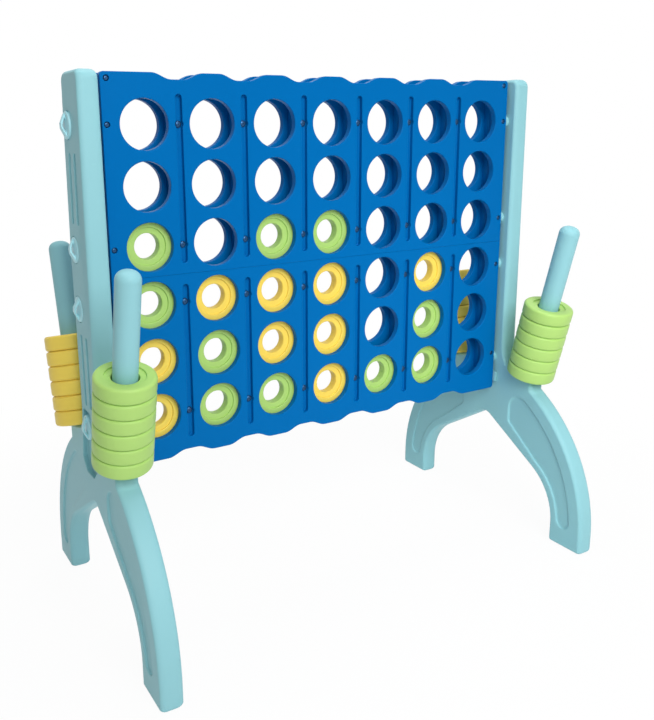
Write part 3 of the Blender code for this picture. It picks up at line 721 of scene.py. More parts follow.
@dataclass
class Slab:
    """A moulded plate with round edges, holes and sunk shapes.

    Its outline lies in the first two axes and its thickness runs along the third.
    """

    outline: Outline
    low: float
    high: float
    edge: float
    openings: list[Opening] = field(default_factory=list)
    edge_steps: int = 4
    edge_drop: float | None = None
    square_side: float | None = None

    def build(self) -> Skin:
        """Form the skin."""
        skin = Skin()
        outline = anticlockwise(self.outline)
        faces = {}
        drop = self.edge_drop or self.edge
        for side, level in ((1, self.high), (-1, self.low)):
            faces[side] = self._edge_round(skin, outline, level, side, self.edge, drop, -1)
        skin.strip(faces[1][0], faces[-1][0])
        for side, level in ((1, self.high), (-1, self.low)):
            holes = []
            for opening in self.openings:
                if opening.depth is None or opening.low_side == (side < 0):
                    holes.append(self._opening(skin, opening, level, side))
            self._fill(skin, faces[side][1], holes, side)
        return skin

    def _edge_round(
        self, skin: Skin, outline: Outline, level: float, side: int, across: float, drop: float,
        inward: int
    ) -> tuple[list[int], list[int]]:
        """Quarter round between a wall and a face.

        Args:
            skin: where to add it.
            outline: the wall's outline, anticlockwise.
            level: height of the face.
            side: 1 where the face looks up, -1 where it looks down.
            across: width of the round, measured along the face.
            drop: its height, measured along the wall, less than nothing where the round
                fills the corner between a wall and a floor.
            inward: -1 where material lies inside the outline, 1 where it lies outside.

        Returns:
            The loop on the wall and the loop on the face.
        """
        out = self._squared(outline, edge_normals(outline))
        first: list[int] = []
        last: list[int] = []
        for k in range(self.edge_steps + 1):
            angle = math.pi / 2 * k / self.edge_steps
            shift = inward * across * (1 - math.cos(angle))
            lower = level - side * drop * (1 - math.sin(angle))
            ring = self._round_ring(skin, outline, out, shift, lower, -inward * drop * math.cos(angle),
                                    side * across * math.sin(angle))
            if last:
                skin.strip(last, ring)
            else:
                first = ring
            last = ring
        return first, last

    def _squared(self, outline: Outline, out: list[Vector]) -> list[Vector]:
        """Keep the side that meets another piece square instead of round."""
        if self.square_side is None:
            return out
        return [Vector((math.copysign(1.0, n.x), 0.0)) if abs(p[1] - self.square_side) < 1e-6 else n
                for p, n in zip(outline, out)]

    @staticmethod
    def _round_ring(
        skin: Skin, outline: Outline, out: list[Vector], shift: float, level: float, flat: float,
        rise: float
    ) -> list[int]:
        """One loop of a round edge.

        Args:
            skin: where to add it.
            outline: the wall's outline.
            out: its outward directions.
            shift: how far the loop is moved along them.
            level: the loop's height.
            flat: weight of the outward direction in the normal.
            rise: weight of the upward direction in the normal.

        Returns:
            The loop's point numbers.
        """
        points, normals = [], []
        for (a, b), normal in zip(outline, out):
            points.append(Vector((a + normal.x * shift, b + normal.y * shift, level)))
            plain = normal.normalized() * flat
            normals.append(Vector((plain.x, plain.y, rise)).normalized())
        return skin.ring(points, normals)

    def _opening(self, skin: Skin, opening: Opening, level: float, side: int) -> list[int]:
        """Walls and floor of an opening, and the loop where it meets the face."""
        outline = anticlockwise(opening.outline)
        wall, rim = self._edge_round(skin, outline, level, side, opening.edge * opening.flare,
                                     opening.edge, 1)
        if opening.depth is None:
            if side > 0:
                opening.upper_wall = wall
            else:
                skin.strip(opening.upper_wall, wall)
            return rim
        floor = level - side * opening.depth
        foot, floor_rim = self._edge_round(skin, outline, floor, side,
                                           opening.floor_edge * opening.flare,
                                           -opening.floor_edge, -1)
        skin.strip(wall, foot)
        self._fill(skin, floor_rim, [], side)
        return rim

    @staticmethod
    def _fill(skin: Skin, outer: list[int], holes: list[list[int]], side: int) -> None:
        """Flat face between an outer loop and the loops of its holes."""
        loops = [outer, *holes]
        flat = [[Vector((skin.points[i].x, skin.points[i].y, 0.0)) for i in loop] for loop in loops]
        numbers = []
        for loop in loops:
            level = [skin.points[i] for i in loop]
            numbers += skin.ring(level, [Vector((0, 0, side))] * len(level))
        for triangle in tessellate_polygon(flat):
            skin.faces.append(tuple(numbers[i] for i in triangle))


# ---------------------------------------------------------------- the board


def screw_skin(radius: float, height: float) -> Skin:
    """Pan head screw with a cross recess, its seat at the origin and its axis along +Z."""
    dome = [(radius, 0.0), (radius, height * 0.45), (radius * 0.86, height * 0.8),
            (radius * 0.55, height * 0.97), (0.0, height)]
    skin = turned([(0.0, 0.0)] + dome, 20)
    for turn in (0.0, math.pi / 2):
        half, arm = radius * 0.13, radius * 0.6
        bar = [(-arm, -half), (arm, -half), (arm, half), (-arm, half)]
        slot = Slab(bar, height * 0.9, height * 1.02, height * 0.03, edge_steps=1).build()
        slot.placed(Matrix.Rotation(turn + 0.4, 4, "Z"))
        skin.add(slot)
    return skin


# From a shape's own axes (across, up, outwards) to the board's front and rear face
FROM_FRONT = Matrix(((1, 0, 0, 0), (0, 0, -1, 0), (0, 1, 0, 0), (0, 0, 0, 1)))
FROM_REAR = Matrix(((-1, 0, 0, 0), (0, 0, 1, 0), (0, 1, 0, 0), (0, 0, 0, 1)))
PLACES = {Face.FRONT: FROM_FRONT, Face.REAR: FROM_REAR}
# From a side view (front to rear, up, outwards) to the right end of the board
FROM_SIDE = Matrix(((0, 0, 1, 0), (1, 0, 0, 0), (0, 1, 0, 0), (0, 0, 0, 1)))
ALONG_X = Matrix.Rotation(math.pi / 2, 4, "Y")


@dataclass
class Panel:
    """One of the board's four mouldings."""

    level: Level
    face: Face
    wall: float = 0.010
    edge: float = 0.0010
    scallop_depth: float = 0.008
    flat_half: float = 0.008
    slope: float = 0.026
    corner: float = 0.005
    groove_half: float = 0.0042
    groove_depth: float = 0.0066
    groove_near: float = 0.0140
    groove_far: float = 0.2230
    seat_radius: float = 0.0054
    end_seat_radius: float = 0.0037
    end_seat_depth: float = 0.0034
    corner_screw: Point = (0.3162, 0.7105)
    head_radius: float = 0.0044
    end_head_radius: float = 0.0033
    head_height: float = 0.0030
    rib_half: float = 0.0072
    rib_round: float = 0.0012
    end_wall: float = 0.0148
    wall_overlap: float = 0.0004

    @property
    def name(self) -> str:
        """Name of the solid that this piece stands for."""
        return f"panel_{self.level.value}_{self.face.name.lower()}"

    @property
    def sign(self) -> int:
        """1 for the upper panel, -1 for the lower."""
        return 1 if self.level is Level.UPPER else -1

    @property
    def seam(self) -> float:
        """Height of the edge that meets the other level's panel."""
        return GRID.seam + self.sign * GRID.meeting

    @property
    def wavy_edge(self) -> float:
        """Height of the edge away from the seam."""
        return GRID.top if self.level is Level.UPPER else GRID.bottom

    @property
    def rows(self) -> range:
        """Rows of windows in this panel."""
        return range(4, 7) if self.level is Level.UPPER else range(1, 4)

    def outline(self) -> Outline:
        """Front view, with the wavy edge away from the seam."""
        wave: Outline = []
        steps = 8
        for gap in range(1, GRID.columns):
            middle = GRID.x(gap + 0.5)
            side = []
            for k in range(steps + 1):
                drop = self.scallop_depth * (1 + math.cos(math.pi * k / steps)) / 2
                height = self.wavy_edge - self.sign * drop
                side.append((self.flat_half + self.slope * k / steps, height))
            wave += [(middle - out, z) for out, z in reversed(side)]
            wave += [(middle + out, z) for out, z in side]
        half = GRID.half_width
        level = self.wavy_edge - self.sign * self.corner
        quarter = self.sign * math.pi / 2
        left = arc((self.corner - half, level), self.corner, math.pi, math.pi - quarter, 6)
        right = arc((half - self.corner, level), self.corner, quarter, 0.0, 6)
        return [(-half, self.seam)] + left + wave + right + [(half, self.seam)]

    def windows(self) -> list[Opening]:
        """The round windows."""
        made = []
        for column in range(1, GRID.columns + 1):
            for row in self.rows:
                ring = circle((GRID.x(column), GRID.z(row)), GRID.window_radius, 56)
                made.append(Opening(ring, edge=0.0012, flare=1.6))
        return made

    def grooves(self) -> list[Opening]:
        """Upright grooves outside the ribs, with a screw seat near each end."""
        levels = sorted((GRID.seam + self.sign * self.groove_near,
                         GRID.seam + self.sign * self.groove_far))
        made = []
        seats = sorted(GRID.z(row) for row in self.screw_rows())
        for gap in range(1, GRID.columns):
            slot = seated_slot(GRID.x(gap + 0.5), levels[0], levels[1], self.groove_half, seats,
                               self.seat_radius)
            made.append(Opening(slot, depth=self.groove_depth, edge=0.0010, floor_edge=0.0014,
                                flare=1.4))
        return made

    def screw_rows(self) -> tuple[int, int]:
        """Rows where the grooves hold screws."""
        return (6, 4) if self.level is Level.UPPER else (3, 1)

    def end_seats(self) -> list[Opening]:
        """Round screw seats at the board's ends, and one in each upper corner."""
        places = [(end * GRID.end_screw, GRID.z(row)) for row in self.screw_rows()
                  for end in (-1, 1)]
        return [Opening(circle(place, self.end_seat_radius, 20), depth=self.end_seat_depth,
                        edge=0.0006, floor_edge=0.0004)
                for place in places + self.corner_places()]

    def corner_places(self) -> list[Point]:
        """Places of the screws in the board's upper corners."""
        if self.level is Level.LOWER:
            return []
        return [(end * self.corner_screw[0], self.corner_screw[1]) for end in (-1, 1)]

    def build(self, palette: Palette) -> bpy.types.Object:
        """Form the panel and put it in its place.

        Args:
            palette: gives the material.

        Returns:
            The piece.
        """
        openings = self.windows() + self.grooves() + self.end_seats()
        high = GRID.half_depth
        skin = Slab(self.outline(), high - self.wall, high, self.edge, openings,
                    square_side=self.seam).build()
        rib_end = self.wavy_edge - self.sign * (self.scallop_depth + 0.0012)
        for gap in range(1, GRID.columns):
            skin.add(self._bar(GRID.x(gap + 0.5), self.rib_half, rib_end))
        wall_end = self.wavy_edge - self.sign * (self.corner + 0.0005)
        for side in (-1, 1):
            middle = side * (GRID.half_width - self.end_wall / 2)
            skin.add(self._bar(middle, self.end_wall / 2, wall_end))
        skin.placed(PLACES[self.face])
        return palette.piece(skin, f"{self.name}_moulding", BOARD_BLUE, "root", self.name)

    def _bar(self, x: float, half: float, end: float) -> Skin:
        """Upright bar behind the panel's wall, from the seam to a height."""
        bottom, top = min(self.seam, end), max(self.seam, end)
        box = [(x - half, bottom), (x + half, bottom), (x + half, top), (x - half, top)]
        back = GRID.half_depth - self.wall + self.wall_overlap
        return Slab(rounded(box, self.rib_round, 2), GRID.meeting, back, 0.0005,
                    edge_steps=2).build()

    def build_screws(self, palette: Palette) -> bpy.types.Object:
        """Screws in the panel's grooves and in its end seats.

        Args:
            palette: gives the material.

        Returns:
            One piece that holds all of the panel's screws.
        """
        skin = Skin()
        for gap in range(1, GRID.columns):
            for row in self.screw_rows():
                self._add_head(skin, (GRID.x(gap + 0.5), GRID.z(row)), self.groove_depth,
                               self.head_radius)
        for place in [(GRID.end_screw, GRID.z(row)) for row in self.screw_rows()]:
            self._add_head(skin, place, self.end_seat_depth, self.end_head_radius)
        for place in self.corner_places():
            self._add_head(skin, place, self.end_seat_depth, self.end_head_radius)
        skin.placed(PLACES[self.face])
        return palette.piece(skin, f"{self.name}_screws", SCREW_STEEL, "root")

    def _add_head(self, skin: Skin, place: Point, depth: float, radius: float) -> None:
        """Add a screw head on the floor of a seat."""
        head = screw_skin(radius, self.head_height)
        head.placed(Matrix.Translation((*place, GRID.half_depth - depth)))
        skin.add(head)


@dataclass
class Board:
    """The four panels and the release bar."""

    def build(self, palette: Palette) -> list[bpy.types.Object]:
        """Build the panels and dress the release bar.

        Args:
            palette: gives the materials.

        Returns:
            The new pieces.
        """
        pieces = []
        for level in Level:
            for face in Face:
                panel = Panel(level, face)
                pieces.append(panel.build(palette))
                pieces.append(panel.build_screws(palette))
        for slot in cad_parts["release_bar"].material_slots:
            slot.material = palette.get(LEG_AQUA)
        return pieces


# ---------------------------------------------------------------- legs

# Rows that have a knob and a screw at each end of the board, from the top
CLAMPED_ROWS = (6, 4, 3, 1)
LOW_KNOB_DROP = 0.008


@dataclass
class Leg:
    """Upright, arch and feet in one moulding."""

    end: End
    inner: float = 0.3293
    outer: float = 0.3583
    top: float = 0.720
    top_thickness: float = 0.0257
    taper_start: float = 0.560
    foot_tip: float = 0.215
    foot_length: float = 0.062
    foot_rise: float = 0.026
    outer_arc: float = 0.2475
    inner_arc: float = 0.090
    arch_height: float = 0.175
    arch_slope: float = math.radians(31.0)
    peg_out: float = 0.0825
    peg_height: float = 0.2577
    peg_lean: float = math.radians(14.0)
    upright_half: float = 0.035
    top_round: float = 0.012
    flare_curve: tuple[Point, ...] = ((0.0, 0.036), (0.0007, 0.024), (0.0035, 0.010),
                                      (0.008, 0.0))
    seat_reach: float = 0.016
    sole_round: float = 0.006
    crown: float = 0.010
    relief_low: float = 0.044
    relief_end: float = math.radians(57.5)
    relief_outer: float = 0.0235
    relief_inner: float = 0.0145
    relief_round: float = 0.022
    heel_round: float = 0.010
    heel_drop: float = 0.020
    sunk: float = 0.0030
    slot_out: float = 0.0105
    slot_half: float = 0.004
    slot_spans: tuple[Point, ...] = ((0.540, 0.625), (0.306, 0.400))
    knob_y: float = -0.012
    knob_seat: float = 0.3510
    recess_radius: float = 0.0171
    pocket: tuple[Point, ...] = ((-0.015, 0.298), (-0.031, 0.224), (-0.015, 0.209),
                                 (0.015, 0.209), (0.031, 0.224), (0.015, 0.298))
    boss_radius: float = 0.009
    boss_length: float = 0.0052
    boss_gap: float = 0.0003
    edge: float = 0.0052
    edge_drop: float = 0.0088

    @property
    def name(self) -> str:
        """Name of the solid that this piece stands for."""
        return f"leg_{self.end.name.lower()}"

    @property
    def place(self) -> Matrix:
        """The right leg is the shape as formed; the left one is turned half a turn."""
        return Matrix.Rotation(0.0 if self.end is End.RIGHT else math.pi, 4, "Z")

    def seat(self, out: float) -> float:
        """Height of a peg's seat at a distance from the board's middle plane."""
        return self.peg_height - math.tan(self.peg_lean) * (out - self.peg_out)

    def foot_centre(self) -> Point:
        """Centre of the arc inside the foot."""
        inside = self.foot_tip - self.foot_length
        run = inside - self.inner_arc * (1 - math.sin(self.arch_slope))
        drop = math.tan(self.arch_slope) * run + self.inner_arc * math.cos(self.arch_slope)
        return (inside - self.inner_arc, self.arch_height - drop)

    def half_outline(self) -> Outline:
        """One side of the leg, from the top's middle down to the arch's crown."""
        points = arc((self.upright_half - self.top_round, self.top - self.top_round),
                     self.top_round, math.pi / 2, 0.0, 6)
        flare = self.seat(self.upright_half + self.flare_curve[-1][0])
        points += [(self.upright_half + out, flare + up) for out, up in self.flare_curve]
        edge = self.peg_out + self.seat_reach
        points += [(edge - 0.003, self.seat(edge - 0.003)), (edge, self.seat(edge) - 0.002)]
        centre = (self.foot_tip - self.outer_arc, self.foot_rise)
        haunch = math.acos((edge - centre[0]) / self.outer_arc)
        points += arc(centre, self.outer_arc, haunch, 0.0, 24)
        sole = self.sole_round
        points += arc((self.foot_tip - sole, sole), sole, 0.0, -math.pi / 2, 5)
        inside = self.foot_tip - self.foot_length
        points += arc((inside + sole, sole), sole, -math.pi / 2, -math.pi, 5)
        points += arc(self.foot_centre(), self.inner_arc, 0.0, math.pi / 2 - self.arch_slope, 12)
        slope = math.tan(self.arch_slope)
        for share in (1.0, 0.66, 0.33):
            rise = self.crown * slope * (1 - share ** 2) / 2
            points.append((self.crown * share, self.arch_height - slope * self.crown + rise))
        return points

    def outline(self) -> Outline:
        """The whole side view, anticlockwise."""
        half = self.half_outline()
        points = [(-out, z) for out, z in half] + list(reversed(half))
        return anticlockwise(points)

    def relief(self, front: int) -> Outline:
        """Sunk panel in the side of one foot: wide and round at the top, narrow at the sole."""
        low, upper = self.relief_low, self.relief_end
        centre = Vector((self.foot_tip - self.outer_arc, self.foot_rise))
        outer = self.outer_arc - self.relief_outer
        start = math.asin((low - centre.y) / outer)
        points = arc(centre, outer, start, upper, 18)
        end = centre + Vector((math.cos(upper), math.sin(upper))) * (outer - self.relief_round)
        points += arc(end, self.relief_round, upper, math.pi, 12)[1:]
        heel = (end.x - self.relief_round + self.heel_round, end.y - self.heel_drop)
        points += arc(heel, self.heel_round, math.pi, 1.5 * math.pi - self.arch_slope, 7)
        foot = self.foot_centre()
        inner = self.inner_arc + self.relief_inner
        foot_angle = math.asin(max(-1.0, (low - foot[1]) / inner))
        points += arc(foot, inner, math.pi / 2 - self.arch_slope, foot_angle, 12)
        sole = (points[0][0] - points[-1][0]) / 2
        middle = points[-1][0] + sole
        points += arc((middle, low), sole, math.pi, 2 * math.pi, 12)[1:-1]
        return anticlockwise([(front * out, z) for out, z in points])

    def taper(self, height: float) -> float:
        """How far the outer face has moved in at a height."""
        share = max(0.0, (height - self.taper_start) / (self.top - self.taper_start))
        return share * (self.outer - self.inner - self.top_thickness)

    def untapered(self, out: float, height: float) -> float:
        """Where a point has to be formed so that the taper brings it to its place."""
        middle = (self.inner + self.outer) / 2
        half = (self.outer - self.inner) / 2
        return middle + (out - middle) / (1 - self.taper(height) / half)

    def tapered(self, point: Vector) -> Vector:
        """Lean the outer half of the upright in."""
        middle = (self.inner + self.outer) / 2
        half = (self.outer - self.inner) / 2
        share = max(0.0, (point.z - middle) / half)
        moved = point.copy()
        moved.z -= share * self.taper(point.y)
        return moved

    def openings(self) -> list[Opening]:
        """Sunk panels, slots, knob seats and the low pocket."""
        made = []
        for front in (-1, 1):
            for low_side in (False, True):
                made.append(Opening(self.relief(front), depth=self.sunk, edge=0.0014,
                                    floor_edge=0.0014, flare=2.4, low_side=low_side))
            for low, high in self.slot_spans:
                slot = capsule(front * self.slot_out, low, high, self.slot_half, 6)
                made.append(Opening(slot, depth=self.sunk, edge=0.0010, floor_edge=0.0012,
                                    flare=1.5))
        for z in self.knob_heights()[:-1]:
            depth = self.outer - self.untapered(self.knob_seat, z)
            ring = circle((self.knob_y, z), self.recess_radius, 40)
            made.append(Opening(ring, depth=depth, edge=0.0006, floor_edge=0.0008))
        pocket = rounded([(self.knob_y + out, z) for out, z in self.pocket], 0.006, 5)
        made.append(Opening(pocket, depth=self.outer - self.knob_seat, edge=0.0016,
                            floor_edge=0.0020))
        return made

    def build(self, palette: Palette) -> bpy.types.Object:
        """Form the leg and put it at its end of the board.

        Args:
            palette: gives the material.

        Returns:
            The piece.
        """
        slab = Slab(self.outline(), self.inner, self.outer, self.edge, self.openings(),
                    edge_steps=7, edge_drop=self.edge_drop)
        skin = slab.build()
        skin.moved(self.tapered)
        skin.placed(FROM_SIDE)
        profile = [(0.0, 0.0), (self.boss_radius, 0.0), (self.boss_radius, self.boss_length),
                   (0.0, self.boss_length)]
        start = GRID.half_width + self.boss_gap
        for z in self.knob_heights():
            boss = turned(profile, 24)
            boss.placed(Matrix.Translation((start, self.knob_y, z)) @ ALONG_X)
            skin.add(boss)
        skin.placed(self.place)
        return palette.piece(skin, f"{self.name}_moulding", LEG_AQUA, "root", self.name)

    @staticmethod
    def knob_heights() -> tuple[float, float, float, float]:
        """Heights of the four knobs, from the top."""
        top, upper, middle, low = (GRID.z(row) for row in CLAMPED_ROWS)
        return (top, upper, middle, low - LOW_KNOB_DROP)

    def peg_frame(self, face: Face) -> Matrix:
        """Frame on a peg's seat, whose Z axis runs up the peg."""
        middle = self.end.value * (self.inner + self.outer) / 2
        place = Matrix.Translation((middle, face.value * self.peg_out, self.peg_height))
        return place @ Matrix.Rotation(-face.value * self.peg_lean, 4, "X")


# ---------------------------------------------------------------- pegs and discs


@dataclass
class Peg:
    """Storage peg with a softly domed tip."""

    end: End
    face: Face
    radius: float = 0.015
    length: float = 0.2531
    dome: float = 0.0115
    gap: float = 0.0003

    @property
    def name(self) -> str:
        """Name of the solid that this piece stands for."""
        return f"peg_{self.face.name.lower()}_{self.end.name.lower()}"

    def build(self, leg: Leg, palette: Palette) -> bpy.types.Object:
        """Form the peg on its leg.

        Args:
            leg: the leg that carries it.
            palette: gives the material.

        Returns:
            The piece.
        """
        profile: list[Point] = [(0.0, self.gap), (self.radius, self.gap)]
        steps = 10
        for k in range(steps + 1):
            angle = math.pi / 2 * k / steps
            across = math.cos(angle) ** 0.82
            up = math.sin(angle) ** 0.95
            profile.append((self.radius * across if k < steps else 0.0,
                            self.length - self.dome + self.dome * up))
        skin = turned(profile, 48)
        skin.placed(leg.peg_frame(self.face))
        return palette.piece(skin, f"{self.name}_moulding", LEG_AQUA, "root", self.name)


@dataclass(frozen=True)
class DiscShape:
    """Section of one ring disc: a flat rim round a sunk, sloping middle and a bore."""

    radius: float = 0.03725
    bore: float = 0.01675
    thickness: float = 0.0205
    rim_round: float = 0.0040
    step_radius: float = 0.0245
    step_depth: float = 0.0026
    bore_round: float = 0.0016

    def upper_half(self) -> list[Point]:
        """Section from the middle of the rim, over the face and down to the bore's middle."""
        half = self.thickness / 2
        points = arc((self.radius - self.rim_round, half - self.rim_round), self.rim_round,
                     0.0, math.pi / 2, 6)
        points += arc((self.step_radius + 0.0007, half - 0.0007), 0.0007, math.pi / 2, math.pi, 3)
        floor = half - self.step_depth
        points += [(self.step_radius - 0.0002, floor + 0.0001), (self.step_radius - 0.0008, floor)]
        edge = self.bore_round
        points += [(self.bore + edge - edge * math.sin(a), floor - 0.0002 - edge * (1 - math.cos(a)))
                   for a in (0.0, 0.4, 0.8, 1.2, math.pi / 2)]
        return points

    def section(self) -> list[Point]:
        """Closed section of the whole disc, centred on its middle plane."""
        upper = self.upper_half()
        lower = [(radius, -height) for radius, height in reversed(upper)]
        return upper + lower


DISC = DiscShape()


def disc_skin(steps: int = 64) -> Skin:
    """One ring disc, centred on the origin with its axis along Z."""
    return turned(DISC.section(), steps, smooth=0.75)


@dataclass
class PlayedDisc:
    """A disc that stands in its column."""

    column: int
    row: int
    colour: Colour

    @property
    def name(self) -> str:
        """Name of the solid and of the body."""
        return f"disc_c{self.column}_r{self.row}"

    def build(self, palette: Palette) -> bpy.types.Object:
        """Form the disc in its column.

        Args:
            palette: gives the material.

        Returns:
            The piece.
        """
        finish = DISC_GREEN if self.colour is Colour.GREEN else DISC_YELLOW
        skin = disc_skin()
        place = Matrix.Translation((GRID.x(self.column), 0.0, GRID.z(self.row)))
        skin.placed(place @ Matrix.Rotation(-math.pi / 2, 4, "X"))
        return palette.piece(skin, f"{self.name}_ring", finish, self.name, self.name)


@dataclass
class StoredRings:
    """The rings on one peg: a stack that lifts as one and a top ring of its own."""

    end: End
    face: Face
    count: int
    gap: float = 0.0003

    @property
    def place_name(self) -> str:
        """The peg's place in words."""
        return f"{self.face.name.lower()}_{self.end.name.lower()}"

    def build(self, leg: Leg, palette: Palette) -> list[bpy.types.Object]:
        """Form the stack and the top ring.

        Args:
            leg: the leg that carries the peg.
            palette: gives the material.

        Returns:
            The stack and the top ring.
        """
        finish = DISC_GREEN if self.face is Face.FRONT else DISC_YELLOW
        up = leg.peg_frame(self.face)
        stack, top = Skin(), Skin()
        for index in range(self.count):
            last = index == self.count - 1
            level = self.gap + (index + 0.5) * DISC.thickness + (self.gap if last else 0.0)
            ring = disc_skin()
            turn = Matrix.Rotation(0.7 * index, 4, "Z")
            ring.placed(up @ Matrix.Translation((0, 0, level)) @ turn)
            (top if last else stack).add(ring)
        made = []
        for skin, part in ((stack, "ring_stack"), (top, "ring_top")):
            body = f"{part}_{self.place_name}"
            made.append(palette.piece(skin, f"{body}_rings", finish, body, body))
        return made


# ---------------------------------------------------------------- knobs


@dataclass
class Knob:
    """Wing knob: a round flange, an open triangular wing and a shank."""

    end: End
    index: int
    turn: float
    radius: float = 0.0165
    flange: float = 0.0078
    rise: float = 0.0137
    wing_half: float = 0.0140
    wing_thickness: float = 0.0080
    wall: float = 0.0022
    shoulder: float = 0.0010
    crest_half: float = 0.0032
    hole_crest_half: float = 0.0020
    hole_rise: float = 0.0003
    soft: float = 0.0014
    shank_radius: float = 0.0045
    shank_length: float = 0.0388
    seat: float = 0.3513

    @property
    def name(self) -> str:
        """Name of the solid and of the body."""
        return f"knob_{self.end.name.lower()}_{self.index}"

    def wing(self) -> Skin:
        """The wing with its opening, standing on the flange."""
        half, top, crest = self.wing_half, self.rise, self.crest_half
        base, shoulder = self.flange * 0.5, self.flange + self.shoulder
        shape = [(-half, base), (half, base), (half, shoulder), (crest, top), (-crest, top),
                 (-half, shoulder)]
        foot = self.flange + self.hole_rise
        side, crest = half - 1.8 * self.wall, self.hole_crest_half
        hole = [(-side, foot), (side, foot), (crest, top - self.wall), (-crest, top - self.wall)]
        thick = self.wing_thickness / 2
        window = Opening(anticlockwise(rounded(hole, 0.0010, 3)), edge=0.0007)
        skin = Slab(rounded(shape, 0.0018, 4), -thick, thick, 0.0011, [window]).build()
        skin.placed(FROM_FRONT)
        skin.placed(Matrix.Rotation(self.turn, 4, "Z"))
        return skin

    def build(self, leg: Leg, palette: Palette) -> bpy.types.Object:
        """Form the knob on its leg.

        Args:
            leg: the leg that it clamps.
            palette: gives the material.

        Returns:
            The piece.
        """
        tip = -self.shank_length
        profile: list[Point] = [(0.0, tip), (self.shank_radius, tip), (self.shank_radius, 0.0)]
        profile += [(self.radius - 0.0005, 0.0), (self.radius, 0.0005)]
        profile += arc((self.radius - self.soft, self.flange - self.soft), self.soft, 0.0,
                       math.pi / 2, 5)
        profile += [(0.0, self.flange)]
        skin = turned(profile, 40)
        skin.add(self.wing())
        height = leg.knob_heights()[self.index - 1]
        skin.placed(Matrix.Translation((self.seat, leg.knob_y, height)) @ ALONG_X)
        skin.placed(leg.place)
        return palette.piece(skin, f"{self.name}_wing", KNOB_AQUA, self.name, self.name)


@dataclass
class EndScrew:
    """Screw that clamps two panels together at one end of the board."""

    end: End
    index: int
    head_radius: float = 0.0034
    head_height: float = 0.0025
    seat_depth: float = 0.0032
    shank_radius: float = 0.0018
    shank_length: float = 0.0235

    @property
    def name(self) -> str:
        """Name of the solid that this piece stands for."""
        return f"screw_{self.end.name.lower()}_{self.index}"

    def build(self, palette: Palette) -> bpy.types.Object:
        """Form the screw in its seat.

        Args:
            palette: gives the material.

        Returns:
            The piece.
        """
        shank, tip = self.shank_radius, -self.shank_length
        profile = [(0.0, tip), (0.0012, tip), (shank, tip + 0.0010), (shank, 0.0), (0.0, 0.0)]
        skin = screw_skin(self.head_radius, self.head_height)
        skin.add(turned(profile, 12))
        height = GRID.z(CLAMPED_ROWS[self.index - 1])
        depth = GRID.half_depth - self.seat_depth
        skin.placed(Matrix.Translation((-GRID.end_screw, height, depth)))
        skin.placed(FROM_FRONT if self.end is End.LEFT else FROM_REAR)
        return palette.piece(skin, f"{self.name}_blued", SCREW_STEEL, "root", self.name)


@dataclass
class Side:
    """One leg with its pegs, stored rings, knobs and end screws."""

    end: End
    turns: tuple[float, ...] = (190.0, 20.0, 165.0, 5.0)

    def ring_count(self, face: Face) -> int:
        """Rings on a peg: the rear right one carries one more."""
        return 7 if (self.end is End.RIGHT and face is Face.REAR) else 6

    def build(self, palette: Palette) -> list[bpy.types.Object]:
        """Build everything at this end.

        Args:
            palette: gives the materials.

        Returns:
            The new pieces.
        """
        leg = Leg(self.end)
        pieces = [leg.build(palette)]
        for face in Face:
            pieces.append(Peg(self.end, face).build(leg, palette))
            pieces += StoredRings(self.end, face, self.ring_count(face)).build(leg, palette)
        for index, turn in enumerate(self.turns, start=1):
            pieces.append(Knob(self.end, index, math.radians(turn)).build(leg, palette))
            pieces.append(EndScrew(self.end, index).build(palette))
        return pieces


@dataclass
class Game:
    """The discs that have been played."""

    green: tuple[Point, ...] = ((1, 4), (3, 4), (4, 4), (2, 2), (6, 2), (2, 1), (3, 1), (5, 1),
                                (6, 1), (1, 3))
    yellow: tuple[Point, ...] = ((2, 3), (3, 3), (4, 3), (6, 3), (1, 2), (3, 2), (4, 2), (1, 1),
                                 (4, 1))

    def build(self, palette: Palette) -> list[bpy.types.Object]:
        """Build every played disc."""
        pieces = []
        for places, colour in ((self.green, Colour.GREEN), (self.yellow, Colour.YELLOW)):
            for column, row in places:
                pieces.append(PlayedDisc(int(column), int(row), colour).build(palette))
        return pieces


# ---------------------------------------------------------------- studio


@dataclass(frozen=True)
class Lamp:
    """A soft lamp that looks at a point: a square, or a spot where it has an angle."""

    name: str
    place: tuple[float, float, float]
    target: tuple[float, float, float]
    power: float
    size: float
    angle: float = 0.0
    blend: float = 0.9

    def build(self) -> None:
        """Make the lamp and aim it."""
        data = bpy.data.lights.new(self.name, "SPOT" if self.angle else "AREA")
        data.energy = self.power
        if self.angle:
            data.spot_size = self.angle
            data.spot_blend = self.blend
            data.shadow_soft_size = self.size
        else:
            data.shape = "SQUARE"
            data.size = self.size
        lamp = bpy.data.objects.new(self.name, data)
        lamp.location = self.place
        aim = Vector(self.target) - Vector(self.place)
        lamp.rotation_euler = aim.to_track_quat("-Z", "Y").to_euler()
        bpy.context.scene.collection.objects.link(lamp)


# Key lamp over the camera's side, a top lamp, and one on the right leg's inside
LAMPS = (
    Lamp("key", (-0.30, -1.9, 1.6), (0.0, 0.0, 0.36), 35.0, 1.2),
    Lamp("top", (0.1, 0.2, 2.4), (0.0, 0.0, 0.36), 20.0, 1.4),
    Lamp("inner", (-0.34, -1.0, 0.9), (0.34, -0.02, 0.17), 18.0, 0.25, math.radians(44.0)),
)


